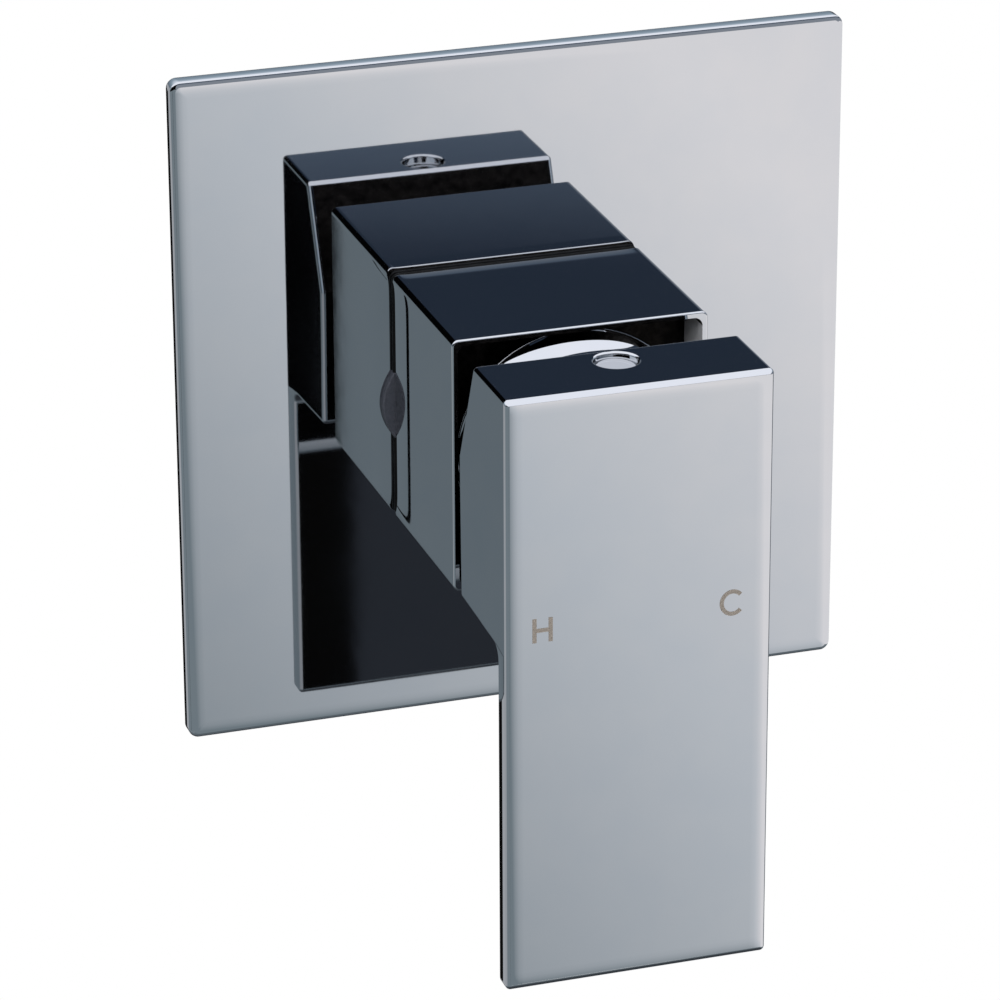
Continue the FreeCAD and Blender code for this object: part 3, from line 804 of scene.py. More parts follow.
@dataclass
class Sleeve:
    """Square cover tube with a web across it and a front recess, and the gasket behind it with its tongue.

    Attributes:
        half: half of its side.
        rear: height of its rear edge.
        front: height of its front rim.
        gasket_half: half of the gasket's side.
        gasket_rear: height of the gasket's rear face.
        wall: thickness of its walls.
        corner: radius of its long edges.
        inner_corner: radius of the corners inside.
        rear_round: radius of its rear edge.
        rim_round: radius of its front rim.
        web: heights of the web's back and front.
        web_hole: radius of the hole in the web.
        gasket_width: width of the gasket's section.
        gasket_round: radius of the gasket's outer edges.
        gasket_squeeze: how far its edge draws in when the nut clamps it.
        tongue: how far the gasket's tongue stands out at the left.
        tongue_half: half of the tongue's length.
        tongue_drop: how far its middle lies below the spindle.
        tongue_round: radius of its front edge.
        painted_shade_rows: rows of the rear round, counted from the plate, that take the painted shade of the
            joint.
        bow_power: power with which the drawn walls bow out to their corners.
        draws: how far buffing has drawn each wall in at its rear edge.
        reaches: how far forward that reaches on each wall.
        ZINC, SHADE_COAT: places of the bare zinc and of the painted shade in the sleeve's list.
        PAINTED_LIGHT_COAT: place of the lighter rubber with painted light, for the tongue, in the gasket's
            list.
    """

    ZINC: ClassVar[int] = 1
    SHADE_COAT: ClassVar[int] = 2
    PAINTED_LIGHT_COAT: ClassVar[int] = 1
    half: float
    rear: float
    front: float
    gasket_half: float
    gasket_rear: float
    wall: float = 1.0
    corner: float = 1.2
    inner_corner: float = 1.5
    rear_round: float = 0.9
    rim_round: float = 0.35
    web: tuple[float, float] = (28.0, 30.5)
    web_hole: float = 20.1
    gasket_width: float = 1.5
    gasket_round: float = 0.5
    gasket_squeeze: float = 0.6
    tongue: float = 2.0
    tongue_half: float = 6.6
    tongue_drop: float = 1.6
    tongue_round: float = 0.35
    painted_shade_rows: int = 6
    bow_power: int = 20
    draws: tuple[float, ...] = (0.14, 0.14, 0.39, 0.14)
    reaches: tuple[float, ...] = (3.5, 3.5, 11.0, 3.5)

    @classmethod
    def from_frame(cls) -> "Sleeve":
        """Takes the sizes of sleeve and gasket from their CAD nodes.

        Returns:
            The sleeve.
        """
        rear, front = heights_of("sleeve")
        return cls(half=corners_of("sleeve")[1][0], rear=rear, front=front,
                   gasket_half=corners_of("sleeve_gasket")[1][0], gasket_rear=heights_of("sleeve_gasket")[0])

    def _rows(self) -> Profile:
        """Walks up the rear of the outside: its round, then rows across the drawn part.

        Returns:
            Half side and height of each row.
        """
        top = self.rear + max(self.reaches)
        arcs = rounded([(self.half - self.rear_round, self.rear), (self.half, self.rear), (self.half, top)],
                       [0, self.rear_round, 0])
        heights = np.linspace(self.rear + self.rear_round, top, DRAWN_ROWS)[1:]
        return arcs[1] + line_through(self.half, heights, [1.0, 0.0])

    def _drawn(self, height: Array, along: Array, flat: float, side: int) -> tuple[Array, Array, Array]:
        """How far a wall is drawn in: the square of the way left to its reach, times a bow along the edge.

        Args:
            height: height out of the wall.
            along: place along the edge from its middle.
            flat: place where the edge's corner begins.
            side: which wall.

        Returns:
            The draw and its slopes with height and with place.
        """
        draw, reach, power = self.draws[side], self.reaches[side], self.bow_power
        away = np.clip(1 - (height - self.rear) / reach, 0, None)
        share = np.clip(np.abs(along) / flat, 0, 1)
        bow = 1 - share ** power
        slope = -power * draw * away ** 2 * np.sign(along) * share ** (power - 1) / flat
        return draw * away ** 2 * bow, -2 * draw * away * bow / reach, slope

    def _wall(self, line: Profile, flat: float, side: int) -> Surface:
        """One wall from corner to corner, in columns that crowd towards both.

        The wall is worked out as if it faced right and then turned by quarters: 0 right, 1 top, 2 left and
        3 bottom.

        Args:
            line: half side and height of its rows.
            flat: place along the edge where the corners begin.
            side: which wall.

        Returns:
            Points and normals of the wall.
        """
        half, height = line.points[:, 0, None], line.points[:, 1, None]
        along = flat * np.sin(np.linspace(-np.pi / 2, np.pi / 2, WALL_COLUMNS))
        draw, out_slope, along_slope = self._drawn(height, along, flat, side)
        out = half - draw
        cos, sin = ((1, 0), (0, 1), (-1, 0), (0, -1))[side]
        points = in_space(out * cos - along * sin, height, out * sin + along * cos)
        facing = line.normals[:, 0, None]
        normals = unit(np.stack(np.broadcast_arrays(facing, line.normals[:, 1, None] + facing * out_slope,
                                                    facing * along_slope), axis=-1))
        outward, forward, sideways = np.moveaxis(normals, -1, 0)
        return points, in_space(outward * cos - sideways * sin, forward, outward * sin + sideways * cos)

    def _shell(self, made: Patchwork, line: Profile, corner: Array, end: float, coat: int = 0,
               shade_rows: int = 0) -> list[Surface]:
        """Adds one face of the tube: four walls, four corners, and plain flats from there to an end height.

        Args:
            made: where it goes.
            line: half side and height of its rows.
            corner: corner radius at each row.
            end: height where the plain part ends.
            coat: which of the sleeve's finishes it takes.
            shade_rows: how many of the first rows take the painted shade of the joint behind them.

        Returns:
            The four walls.
        """
        last = line.part(-1, None)
        plain = last + line_through(last.points[0, 0], [end], last.normals)
        loops, plain_loops = round_square(line, corner), round_square(plain, np.repeat(corner[-1:], 2))
        flat = line.points[0, 0] - corner[0]
        walls = []
        for side in range(4):
            columns = slice(side * QUARTER, (side + 1) * QUARTER)
            points, normals = self._wall(line, flat, side)
            walls.append((points, normals))
            for face, bend in ((points, normals), (loops[0][:, columns], loops[1][:, columns])):
                # The first rows of the rear round take the painted shade, so that the joint at the plate
                # reads dark.
                made.grid((face[:shade_rows + 1], bend[:shade_rows + 1]), self.SHADE_COAT)
                made.grid((face[shade_rows:], bend[shade_rows:]), coat)
            made.grid((plain_loops[0][:, columns], plain_loops[1][:, columns]), coat)
            edge = points[-1]
            made.flat(np.concatenate([edge, edge[[-1, 0]] * [1, 0, 1] + end * OUT]), normals[-1, 0], coat)
        return walls

    def shape(self) -> Patchwork:
        """Puts together outer and inner face, rear edge, and the front recess with its web.

        Returns:
            The sleeve's patches.
        """
        made = Patchwork()
        inner, rim = self.half - self.wall, self.half - self.rim_round
        outer = self._rows()
        front = rounded([(self.half, self.web[0]), (self.half, self.front), (inner, self.front),
                         (inner, self.web[1])], [0, self.rim_round, 0, 0])
        outside = self._shell(made, outer, self.corner - (self.half - outer.points[:, 0]),
                              front[1].points[0, 1], shade_rows=self.painted_shade_rows)
        heights = np.unique(np.round(outer.points[:, 1], 9))
        lining = line_through(inner, heights, [-1.0, 0.0])
        inside = self._shell(made, lining, np.full_like(heights, self.inner_corner), self.web[0], self.ZINC)
        self._add_rear_edge(made, outside, inside)
        lip = front[1] + front[2].part(None, 1)
        on_rim = lip.points[:, 0] > rim - WELD_MM
        corner = np.where(on_rim, self.corner - (self.half - lip.points[:, 0]), self.inner_corner)
        made.grid(round_square(lip, corner))
        # The recess's walls and the front of the web take the painted shade that falls there under the
        # handle.
        points, normals = round_square(front[2].part(1, None) + front[3], np.full(2, self.inner_corner))
        made.grid((points[:, :-1], normals[:, :-1]), self.SHADE_COAT)
        made.grid((points[:, -2:], normals[:, -2:]), self.ZINC)
        made.grid(square_to_circle(inner, self.inner_corner, self.web_hole, self.web[1], 1), self.SHADE_COAT)
        made.grid(square_to_circle(inner, self.inner_corner, self.web_hole, self.web[0], -1), self.ZINC)
        made.grid(SPINDLE.turned(section([(self.web_hole, self.web[1]), (self.web_hole, self.web[0])])))
        return made

    def _add_rear_edge(self, made: Patchwork, outside: list[Surface], inside: list[Surface]) -> None:
        """Closes the rear edge between the two faces of the tube.

        Args:
            made: where it goes.
            outside: walls of the outer face.
            inside: walls of the inner face.
        """
        halves = np.array([self.half - self.rear_round, self.half - self.wall])
        loops, _ = square_loop(halves, np.array([self.corner - self.rear_round, self.inner_corner]))
        ring = in_space(loops[..., 0], self.rear, loops[..., 1])
        for side in range(4):
            corner = ring[:, side * QUARTER:(side + 1) * QUARTER]
            for edge in (corner, np.stack([outside[side][0][0], inside[side][0][0]])):
                made.grid((edge, -OUT))

    def gasket(self) -> Patchwork:
        """Carries the gasket's section round the square and adds its tongue.

        Returns:
            The gasket's patches.
        """
        made = Patchwork()
        low, high, half = self.gasket_rear, self.rear, self.gasket_half - self.gasket_squeeze
        inner, edge = half - self.gasket_width, self.gasket_round
        line = joined(rounded([(inner, low), (half, low), (half, high), (inner, high)], [0, edge, edge, 0],
                              closed=True))
        line = line + line.part(None, 1)
        around = np.maximum(self.corner - (half - line.points[:, 0]), self.corner - self.wall)
        made.grid(round_square(line, around))
        self._add_tongue(made, half - edge, half + self.tongue)
        return made

    def _add_tongue(self, made: Patchwork, root: float, tip: float) -> None:
        """Adds the tongue: a parabola out of the gasket to a tip and back, carried up to a rounded edge.

        Args:
            made: where it goes.
            root: distance from the spindle where it leaves the gasket.
            tip: distance from the spindle that it reaches.
        """
        share = np.linspace(-1, 1, CURVE_STEPS + 1)
        arch = np.stack([root + (tip - root) * (1 - share ** 2), self.tongue_half * share], axis=-1)
        outward = unit(np.stack([np.full_like(share, self.tongue_half), 2 * (tip - root) * share], axis=-1))
        edge = joined(rounded([(0, self.gasket_rear), (0, self.rear), (-self.tongue_half, self.rear)],
                              [0, self.tongue_round, 0])[:2])
        place = arch + edge.points[:, 0, None, None] * outward
        points = in_space(-place[..., 0], edge.points[:, 1, None], place[..., 1] - self.tongue_drop)
        facing = edge.normals[:, 0, None, None] * outward
        # The tongue takes the rubber with painted light, lighter where it faces the lamps out of the joint.
        made.grid((points, in_space(-facing[..., 0], edge.normals[:, 1, None], facing[..., 1])), self.PAINTED_LIGHT_COAT)
        made.flat(points[-1], OUT, self.PAINTED_LIGHT_COAT)
        made.flat(points[0], -OUT, self.PAINTED_LIGHT_COAT)
        made.flat(np.concatenate([points[:, 0], points[::-1, -1]]), RIGHT, self.PAINTED_LIGHT_COAT)

    def build(self, shop: Workshop) -> None:
        """Makes the sleeve and its gasket.

        Args:
            shop: what makes the pieces and dresses them.
        """
        shop.piece("polished_sleeve", self.shape(), (CHROME, DULL_ZINC, PAINTED_SHADE_ON_CASTING), "mixer",
                   "sleeve")
        shop.piece("rubber_sleeve_gasket", self.gasket(), (NEAR_BLACK_AND_PAINTED_SHADE, PAINTED_LIGHT_TONGUE), "mixer",
                   "sleeve_gasket")


@dataclass
class DomeCover:
    """Round nut that clamps the sleeve: a skirt, a flat shoulder and a shallow dome with an opening.

    Attributes:
        radius: radius of its skirt.
        foot: height of its rear face.
        crown: height of its opening's edge.
        opening: radius of its opening.
        bore: radius of its thread.
        shelf: height of the shelf inside.
        shoulder: height of its flat shoulder.
        dome_radius: radius where the dome starts.
        dome_step: how far the dome starts above the shoulder.
        bow: how far the dome's flank bulges from a cone.
        lip: width of the flatter lip round its opening.
        lip_drop: how far the lip falls towards the flank.
        lip_bow: how far the lip bulges from a cone.
        wall: thickness of the dome.
        edge_round: radius of the skirt's front edge.
    """

    radius: float
    foot: float
    crown: float
    opening: float = 15.02
    bore: float = 20.0
    shelf: float = 35.2
    shoulder: float = 36.0
    dome_radius: float = 20.5
    dome_step: float = 0.3
    bow: float = 0.2
    lip: float = 2.0
    lip_drop: float = 0.35
    lip_bow: float = 0.05
    wall: float = 1.5
    edge_round: float = 0.3

    @classmethod
    def from_frame(cls) -> "DomeCover":
        """The nut at the size of its CAD node."""
        foot, crown = heights_of("dome_cover")
        return cls(radius=corners_of("dome_cover")[1][0], foot=foot, crown=crown)

    def shape(self) -> Patchwork:
        """Turns the closed section about the spindle.

        Returns:
            The nut's patches.
        """
        dome_foot = (self.dome_radius, self.shoulder + self.dome_step)
        waist = (self.opening + self.lip, self.crown - self.lip_drop)
        mouth = [(self.opening, self.crown), (self.opening, self.crown - self.wall)]
        ledge = [(self.dome_radius - self.wall, self.shelf), (self.bore, self.shelf)]
        skirt = section([ledge[1], (self.bore, self.foot), (self.radius, self.foot),
                         (self.radius, self.shoulder), (self.dome_radius, self.shoulder), dome_foot],
                        [0, 0, 0, self.edge_round, 0, 0])
        flank, lip = bowed(dome_foot, waist, self.bow), bowed(waist, mouth[0], self.lip_bow)
        inside = bowed(mouth[1], ledge[0], -self.bow)
        made = Patchwork()
        for line in (skirt, flank, lip, section(mouth), inside, section(ledge)):
            made.grid(SPINDLE.turned(line))
        return made

    def build(self, shop: Workshop) -> None:
        """Makes the nut."""
        shop.piece("polished_dome_cover", self.shape(), (CHROME,), "mixer", "dome_cover")


@dataclass
class Handle:
    """Cast lever: a square hub relieved at its back, a flat blade, a cored pocket with a boss, a screw hole.

    Attributes:
        half: half of its width.
        top: place of its top face.
        bottom: place of the blade's lower end.
        front: height of its front face.
        boss_end: height of the boss's end.
        hub_back: height of the hub's back.
        top_back: height of the hub's back at the top.
        low_back: height of the hub's back at the bottom.
        hub_bottom: place of the hub's lower face at its back.
        hub_root: place of that face where the blade leaves it.
        relief_starts: places where the upper and the lower relief begin.
        blade: thickness of the blade.
        edge: radius of the edges across it.
        side_edge: radius of the edges at its two ends and between its front and its top.
        root: radius where the blade leaves the hub.
        pocket: radius of the cored pocket.
        pocket_depth: depth of the pocket.
        boss: radius of the boss.
        socket: half of the square socket's side.
        socket_end: height of the socket's floor.
        screw_height: height of the screw's axis.
        screw_hole: radius of the screw hole.
        plug_hole: radius of the plug's hole.
        plug_floor: place of that hole's floor.
        plug_round: radius of that hole's rim.
        border: width of the strip along the front's edges that buffing has rolled off, more with the square
            of the way.
        lean: how far the front leans over at the end of that strip, in degrees.
        crease: how far the top edge already leans where it leaves the front, in degrees.
        blade_lean: how far the blade's two sides lean back at its back, in degrees.
        SHADE_COAT: place of the painted shade on its cast back in its list.
    """

    SHADE_COAT: ClassVar[int] = 1
    half: float
    top: float
    bottom: float
    front: float
    boss_end: float
    hub_back: float = 44.4
    top_back: float = 52.3
    low_back: float = 44.8
    hub_bottom: float = -21.0
    hub_root: float = -22.0
    relief_starts: tuple[float, float] = (4.5, -0.5)
    blade: float = 4.5
    edge: float = 1.0
    side_edge: float = 0.85
    root: float = 2.4
    pocket: float = 14.5
    pocket_depth: float = 6.0
    boss: float = 8.2125
    socket: float = 5.1
    socket_end: float = 61.8
    screw_height: float = 57.0
    screw_hole: float = 2.55
    plug_hole: float = 3.7
    plug_floor: float = 16.4
    plug_round: float = 0.45
    border: float = 2.2
    lean: float = 3.4
    crease: float = 26.0
    blade_lean: float = 12.0

    @classmethod
    def from_frame(cls) -> "Handle":
        """Takes the size from the CAD node, the front lower by the ink that is printed on it.

        Returns:
            The handle.
        """
        low, high = corners_of("handle")
        back, front = heights_of("handle")
        return cls(half=high[0], top=high[2], bottom=low[2], front=front - INK_FILM, boss_end=back)

    def _arcs(self) -> list[Profile]:
        """Rounds the corners of the side outline.

        Returns:
            One arc a corner, as height and place, from the top front corner backwards.
        """
        upper, lower = self.relief_starts
        blade_back = self.front - self.blade
        corners = [(self.front, self.top), (self.top_back, self.top), (self.hub_back, upper),
                   (self.hub_back, lower), (self.low_back, self.hub_bottom), (blade_back, self.hub_root),
                   (blade_back, self.bottom), (self.front, self.bottom)]
        edge = self.edge
        return rounded(corners, [self.side_edge, edge, edge, edge, edge, self.root, edge, edge], closed=True)

    def _hub_back(self, arcs: list[Profile]) -> Profile:
        """Walks down the relieved back, with more rows along the pocket's circle.

        Args:
            arcs: the side outline's corners.

        Returns:
            Height and place of each row.
        """
        line = arcs[1].part(-1, None) + arcs[2] + arcs[3] + arcs[4].part(None, 1)
        circle = self.pocket * np.sin(np.linspace(-np.pi / 2, np.pi / 2, CURVE_STEPS + 1))
        up = np.unique(np.round(np.concatenate([line.points[:, 1], circle]), 6))[::-1]
        height, outward, upward = (np.interp(up, line.points[::-1, 1], values[::-1])
                                   for values in (line.points[:, 0], *line.normals.T))
        return line_through(height, up, np.stack([outward, upward], axis=-1))

    def _across(self, line: Profile, stations: Array) -> Surface:
        """Carries a line of the side outline across the handle, to stations that may differ by row."""
        points = in_space(stations, line.points[:, 0, None], line.points[:, 1, None])
        return points, in_space(0.0, line.normals[:, 0, None], line.normals[:, 1, None])

    def _ends(self, made: Patchwork, outline: Profile, shading: Array, starts: Array) -> None:
        """Rounds both ends: the outline shrinks by the edge radius as it swings over to a flat cheek.

        Where the outline faces front, the swing of the normals starts with the lean of the front's border.
        The cheek faces straight out on the hub, and on the blade it leans back, more with the depth.

        Args:
            made: where they go.
            outline: the side outline.
            shading: the normals that it shows.
            starts: places of the lower and the upper end of the root, along which the blade's lean sets in.
        """
        swing = np.linspace(0, np.pi / 2, EDGE_STEPS + 1)[:, None]
        shrink = self.side_edge * (1 - np.cos(swing))
        height = outline.points[:, 0] - shrink * outline.normals[:, 0]
        up = outline.points[:, 1] - shrink * outline.normals[:, 1]
        swung = swing + np.radians(self.lean) * np.clip(shading[:, 0], 0, None) * np.cos(swing)
        place = outline.points[:, 1]
        on_hub, on_blade = place >= starts[1], place <= starts[0]
        in_root = (place >= starts[0]) & (place <= starts[1])
        depth = np.clip((self.front - outline.points[:, 0]) / self.blade, 0, 1)
        back = np.radians(self.blade_lean) * depth * np.interp(place, starts, [1.0, 0.0])
        for side in (-1.0, 1.0):
            across = side * (self.half - self.side_edge + self.side_edge * np.sin(swing))
            points = in_space(across, height, up)
            normals = in_space(side * np.sin(swung), *(shading.T[:, None] * np.cos(swung)))
            made.grid((points, normals))
            cheek = in_space(side * np.cos(back), -np.sin(back), 0.0)
            for part in (on_hub, in_root, on_blade):
                made.flat(points[-1, part], cheek[part])

    def _front(self, stations: Array, rows: Array) -> Surface:
        """The front face, flat but for a border whose normals lean over towards each edge.

        Args:
            stations: places across: a border, the middle, a border.
            rows: places up: a border, the ends of the root, a border.

        Returns:
            Points and normals of the face.
        """
        lean = np.tan(np.radians(self.lean)) * (1 - BORDER) ** 2
        points = in_space(stations, self.front, rows[:, None])
        upward = np.concatenate([-lean, np.zeros(len(rows) - 2 * len(lean)), lean[::-1]])
        return points, unit(in_space(np.concatenate([-lean, [0.0], lean[::-1]]), 1.0, upward[:, None]))

    def shape(self) -> Patchwork:
        """Sweeps the side outline across, rounds its ends, and opens its back and its top.

        Returns:
            The handle's patches.
        """
        made = Patchwork()
        arcs = self._arcs()
        inset = self.border * BORDER
        sides = self.half - self.side_edge - inset[::-1]
        stations = np.concatenate([-sides[::-1], [0.0], sides])
        starts = arcs[5].points[[-1, 0], 1]
        rows = np.concatenate([arcs[7].points[-1, 1] + inset, starts, arcs[0].points[0, 1] - inset[::-1]])
        front = line_through(self.front, rows, [1.0, 0.0])
        back = self._hub_back(arcs)
        outline = joined(arcs[:2]) + back.part(1, -1) + joined(arcs[4:]) + front.part(1, None)
        made.grid(self._front(stations, rows))
        top = leaned(arcs[0], np.radians(self.crease), 0.0)
        self._ends(made, outline, np.concatenate([top.normals, outline.normals[len(top.normals):]]), starts)
        for arc in (top, arcs[1], *arcs[4:7], leaned(arcs[7], 0.0, np.radians(self.lean))):
            made.grid(self._across(arc, stations))
        for first, second in zip(arcs[4:7], arcs[5:]):
            made.grid(self._across(first.part(-1, None) + second.part(None, 1), stations))
        bitten = np.abs(back.points[:, 1]) <= self.pocket + WELD_MM
        top_row, low_row = np.flatnonzero(bitten)[[0, -1]]
        # The relieved back of the hub and its pocket take the painted shade that falls between handle and
        # wall.
        made.grid(self._across(back.part(None, top_row + 1), stations), self.SHADE_COAT)
        made.grid(self._across(back.part(low_row, None), stations), self.SHADE_COAT)
        middle = back.part(top_row, low_row + 1)
        bite = np.sqrt(np.clip(self.pocket ** 2 - middle.points[:, 1] ** 2, 0, None))[:, None]
        columns = np.concatenate([bite, np.broadcast_to(sides, (len(bite), len(sides)))], axis=1)
        for side in (-1.0, 1.0):
            made.grid(self._across(middle, side * columns), self.SHADE_COAT)
        self._add_pocket(made, middle, bite[:, 0])
        self._add_top(made, arcs, np.append(0.0, sides))
        return made

    def _add_pocket(self, made: Patchwork, rim: Profile, bite: Array) -> None:
        """Adds the pocket's wall and floor, the boss in it and the square socket in the boss.

        Args:
            made: where they go.
            rim: height and place down the pocket's rim.
            bite: half width of the pocket at each of these places.
        """
        up = np.concatenate([rim.points[:, 1], rim.points[::-1, 1]])
        across = np.concatenate([-bite, bite[::-1]])
        rim_height = np.concatenate([rim.points[:, 0], rim.points[::-1, 0]])
        floor = self.hub_back + self.pocket_depth
        inward = in_space(-across / self.pocket, 0.0, -up / self.pocket)
        wall = np.stack([in_space(across, rim_height, up), in_space(across, floor, up)])
        share = self.boss / self.pocket
        base, end = (in_space(across * share, height, up * share) for height in (floor, self.boss_end))
        for rows, normals in ((wall, inward), ((wall[1], base), -OUT), ((base, end), -inward)):
            made.grid((np.stack(rows), normals), self.SHADE_COAT)
        half, socket = len(up) // 2, self.socket
        for turn, arc in ((-1.0, end[:half]), (1.0, end[half:][::-1])):
            square = in_space(turn * np.array([0.0, socket, socket, 0.0]), self.boss_end,
                              np.array([-socket, -socket, socket, socket]))
            made.flat(np.concatenate([arc, square]), -OUT, self.SHADE_COAT)
            cheek = in_space(turn * socket, np.repeat([self.boss_end, self.socket_end], 2),
                             np.array([-socket, socket, socket, -socket]))
            made.flat(cheek, -turn * RIGHT, self.SHADE_COAT)
        ends = np.array([-socket, 0.0, socket, socket, -socket])
        depths = np.repeat([self.boss_end, self.socket_end], [3, 2])
        places = np.repeat([socket, -socket], [3, 2])
        made.flat(in_space(ends, depths, -socket), UP, self.SHADE_COAT)
        made.flat(in_space(ends, self.socket_end, places), -OUT, self.SHADE_COAT)

    def _add_top(self, made: Patchwork, arcs: list[Profile], stations: Array) -> None:
        """Adds the top face with the plug's hole, the stepped hole below it and the socket's roof.

        Args:
            made: where they go.
            arcs: the side outline's corners.
            stations: places across one half of the top face.
        """
        upright = Axis(np.array([0.0, -self.screw_height, 0.0]), RIGHT, OUT, UP, phase=0.0)
        mouth = self.plug_hole + self.plug_round
        hole = section([(mouth, self.top), (self.plug_hole, self.top), (self.plug_hole, self.plug_floor),
                        (self.screw_hole, self.plug_floor), (self.screw_hole, self.socket)],
                       [0, self.plug_round, 0, 0, 0])
        made.grid(upright.turned(hole))
        roof = np.array([0.0, self.socket])
        faces = ((mouth, self.top, stations, arcs[0].points[-1, 0], arcs[1].points[0, 0], UP),
                 (self.screw_hole, self.socket, roof, self.socket_end, self.boss_end, -UP))
        for radius, place, reach, far, near, normal in faces:
            circle = upright.origin + radius * upright.spokes() + place * UP
            right = np.concatenate([circle[3 * QUARTER:-1], circle[:QUARTER + 1]])
            left = circle[QUARTER:3 * QUARTER + 1][::-1]
            for side, arc in ((-1.0, left), (1.0, right)):
                rest = in_space(side * np.append(reach, reach[::-1]), np.repeat([far, near], len(reach)),
                                place)
                made.flat(np.concatenate([arc, rest]), normal)

    def build(self, shop: Workshop) -> None:
        """Makes the handle, and dresses the bush and the screw in it.

        Args:
            shop: what makes the pieces and dresses them.
        """
        shop.piece("polished_handle", self.shape(), (CHROME, PAINTED_SHADE_ON_CASTING), "lever", "handle")
        shop.dress("stem_bush", BLACK_NYLON)
        shop.dress("grub_screw", STEEL)


@dataclass
class HandlePlug:
    """Chrome plug over the set screw, pushed in a little crooked so that its face leans to the front.

    Attributes:
        radius: its radius.
        low: place of its lower end.
        high: place of the middle of its face.
        screw_height: height of its axis.
        lean: rise of its face for each millimetre towards the wall.
        crown: radius of its rim.
    """

    radius: float
    low: float
    high: float
    screw_height: float
    lean: float = 0.1
    crown: float = 0.35

    @classmethod
    def from_frame(cls) -> "HandlePlug":
        """The plug at the size of its CAD node."""
        low, high = corners_of("handle_plug")
        return cls(radius=high[0], low=low[2], high=high[2], screw_height=-(low[1] + high[1]) / 2)

    def shape(self) -> Patchwork:
        """Turns the section about the screw's axis, then shears its upper end to lean with the face.

        Returns:
            The plug's patches.
        """
        axis = Axis(np.array([0.0, -self.screw_height, 0.0]), RIGHT, OUT, UP)
        line = section([(0, self.low), (self.radius, self.low), (self.radius, self.high), (0, self.high)],
                       [0, 0, self.crown, 0])
        points, normals = axis.turned(line)
        upper = (points[..., 2:] - self.low) / (self.high - self.low)
        toward_wall = points[..., 1:2] + self.screw_height
        points = points + UP * upper * toward_wall * self.lean
        lean = unit(np.array([0.0, -self.lean, 1.0]))
        made = Patchwork()
        made.grid((points, unit(normals + np.clip(normals[..., 2:], 0, None) * (lean - UP))))
        return made

    def build(self, shop: Workshop) -> None:
        """Makes the plug."""
        shop.piece("polished_handle_plug", self.shape(), (CHROME,), "lever", "handle_plug")


@dataclass
class IndexMarks:
    """The plain H and C for hot and cold, printed on the front of the handle.

    Attributes:
        front: height of the face that carries them.
        h_size: width and height of the H.
        c_size: width and height of the C if it were closed.
        stroke: width of a stroke.
        hot: middle of the H, across and up.
        cold: middle of the C, across and up.
        mouth: half angle of the C's opening, in degrees.
    """

    front: float
    h_size: tuple[float, float] = (3.5, 4.3)
    c_size: tuple[float, float] = (4.5, 4.7)
    stroke: float = 0.72
    hot: tuple[float, float] = (-16.75, -17.8)
    cold: tuple[float, float] = (16.25, -17.5)
    mouth: float = 42.0

    def _letter_h(self) -> Array:
        """Outlines the H from half its width, half its height and its stroke.

        Returns:
            Its twelve corners about its middle, in order.
        """
        half, up = np.array(self.h_size) / 2
        bar = self.stroke / 2
        inner = half - self.stroke
        across = [half, half, inner, inner, -inner, -inner, -half, -half, -inner, -inner, inner, inner]
        place = [-up, up, up, bar, bar, up, up, -up, -up, -bar, -bar, -up]
        return np.stack([across, place], axis=-1)

    def _letter_c(self) -> Array:
        """Outlines the C: an ellipse walked one way and back again one stroke further in.

        Returns:
            Its corners about its middle, in order.
        """
        spoke = pointing(np.radians(np.linspace(self.mouth, 360 - self.mouth, CURVE_STEPS)))
        radii = np.array(self.c_size) / 2
        return np.concatenate([spoke * radii, (spoke * (radii - self.stroke))[::-1]])

    def _printed(self, outline: Array, middle: tuple[float, float]) -> Patchwork:
        """A film of ink with a given outline: a face, a back and the edge between them.

        Args:
            outline: corners of the letter about its middle.
            middle: where that stands on the handle.

        Returns:
            The film; its edge doubles every corner so that each side keeps its own normal.
        """
        place = outline + middle
        low = in_space(place[:, 0], self.front, place[:, 1])
        high = low + INK_FILM * OUT
        made = Patchwork()
        made.flat(high, OUT)
        made.flat(low, -OUT)
        side = np.cross(np.roll(low, -1, axis=0) - low, OUT)
        corner = np.roll(np.repeat(np.arange(len(low)), 2), -1)
        made.grid((np.stack([low[corner], high[corner]]), np.repeat(unit(side), 2, axis=0)))
        return made

    def build(self, shop: Workshop) -> None:
        """Prints both letters."""
        shop.piece("hot_mark", self._printed(self._letter_h(), self.hot), (INK,), "lever")
        shop.piece("cold_mark", self._printed(self._letter_c(), self.cold), (INK,), "lever")


@dataclass
class Body:
    """The brass casting in the wall, plated on the neck that stands out of it.

    Attributes:
        plated_from: height out of the wall where the plating starts.
    """

    plated_from: float = 4.0

    def build(self, shop: Workshop) -> None:
        """Dresses the casting, and plates each face whose middle stands high enough out of the wall.

        Args:
            shop: what makes the pieces and dresses them.
        """
        shop.dress("mixer_body", CAST_BRASS)
        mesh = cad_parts["mixer_body"].data
        mesh.materials.append(shop.material(NICKEL))
        middles = np.empty(3 * len(mesh.polygons), np.float32)
        mesh.polygons.foreach_get("center", middles)
        plated = middles[1::3] < -self.plated_from * MM
        mesh.polygons.foreach_set("material_index", plated.astype(np.int32))


@dataclass
class Cartridge:
    """The ceramic cartridge with its lever stem, all of it CAD nodes that only need their finishes."""

    finishes: dict[str, Finish] = field(default_factory=lambda: {
        "cartridge_nut": TURNED_BRASS,
        "cartridge_housing": WHITE_ACETAL,
        "cartridge_base": GREY_ACETAL,
        "port_seals": SEAL_RUBBER,
        "housing_o_ring": NEAR_BLACK_AND_PAINTED_SHADE,
        "fixed_disc": ALUMINA,
        "moving_disc": ALUMINA,
        "slip_ring": WHITE_ACETAL,
        "rotor": GREY_ACETAL,
        "disc_carrier": WHITE_ACETAL,
        "pivot_pin": STEEL,
        "lever_stem": TURNED_BRASS,
    })

    def build(self, shop: Workshop) -> None:
        """Dresses each piece of the cartridge."""
        for node, finish in self.finishes.items():
            shop.dress(node, finish)


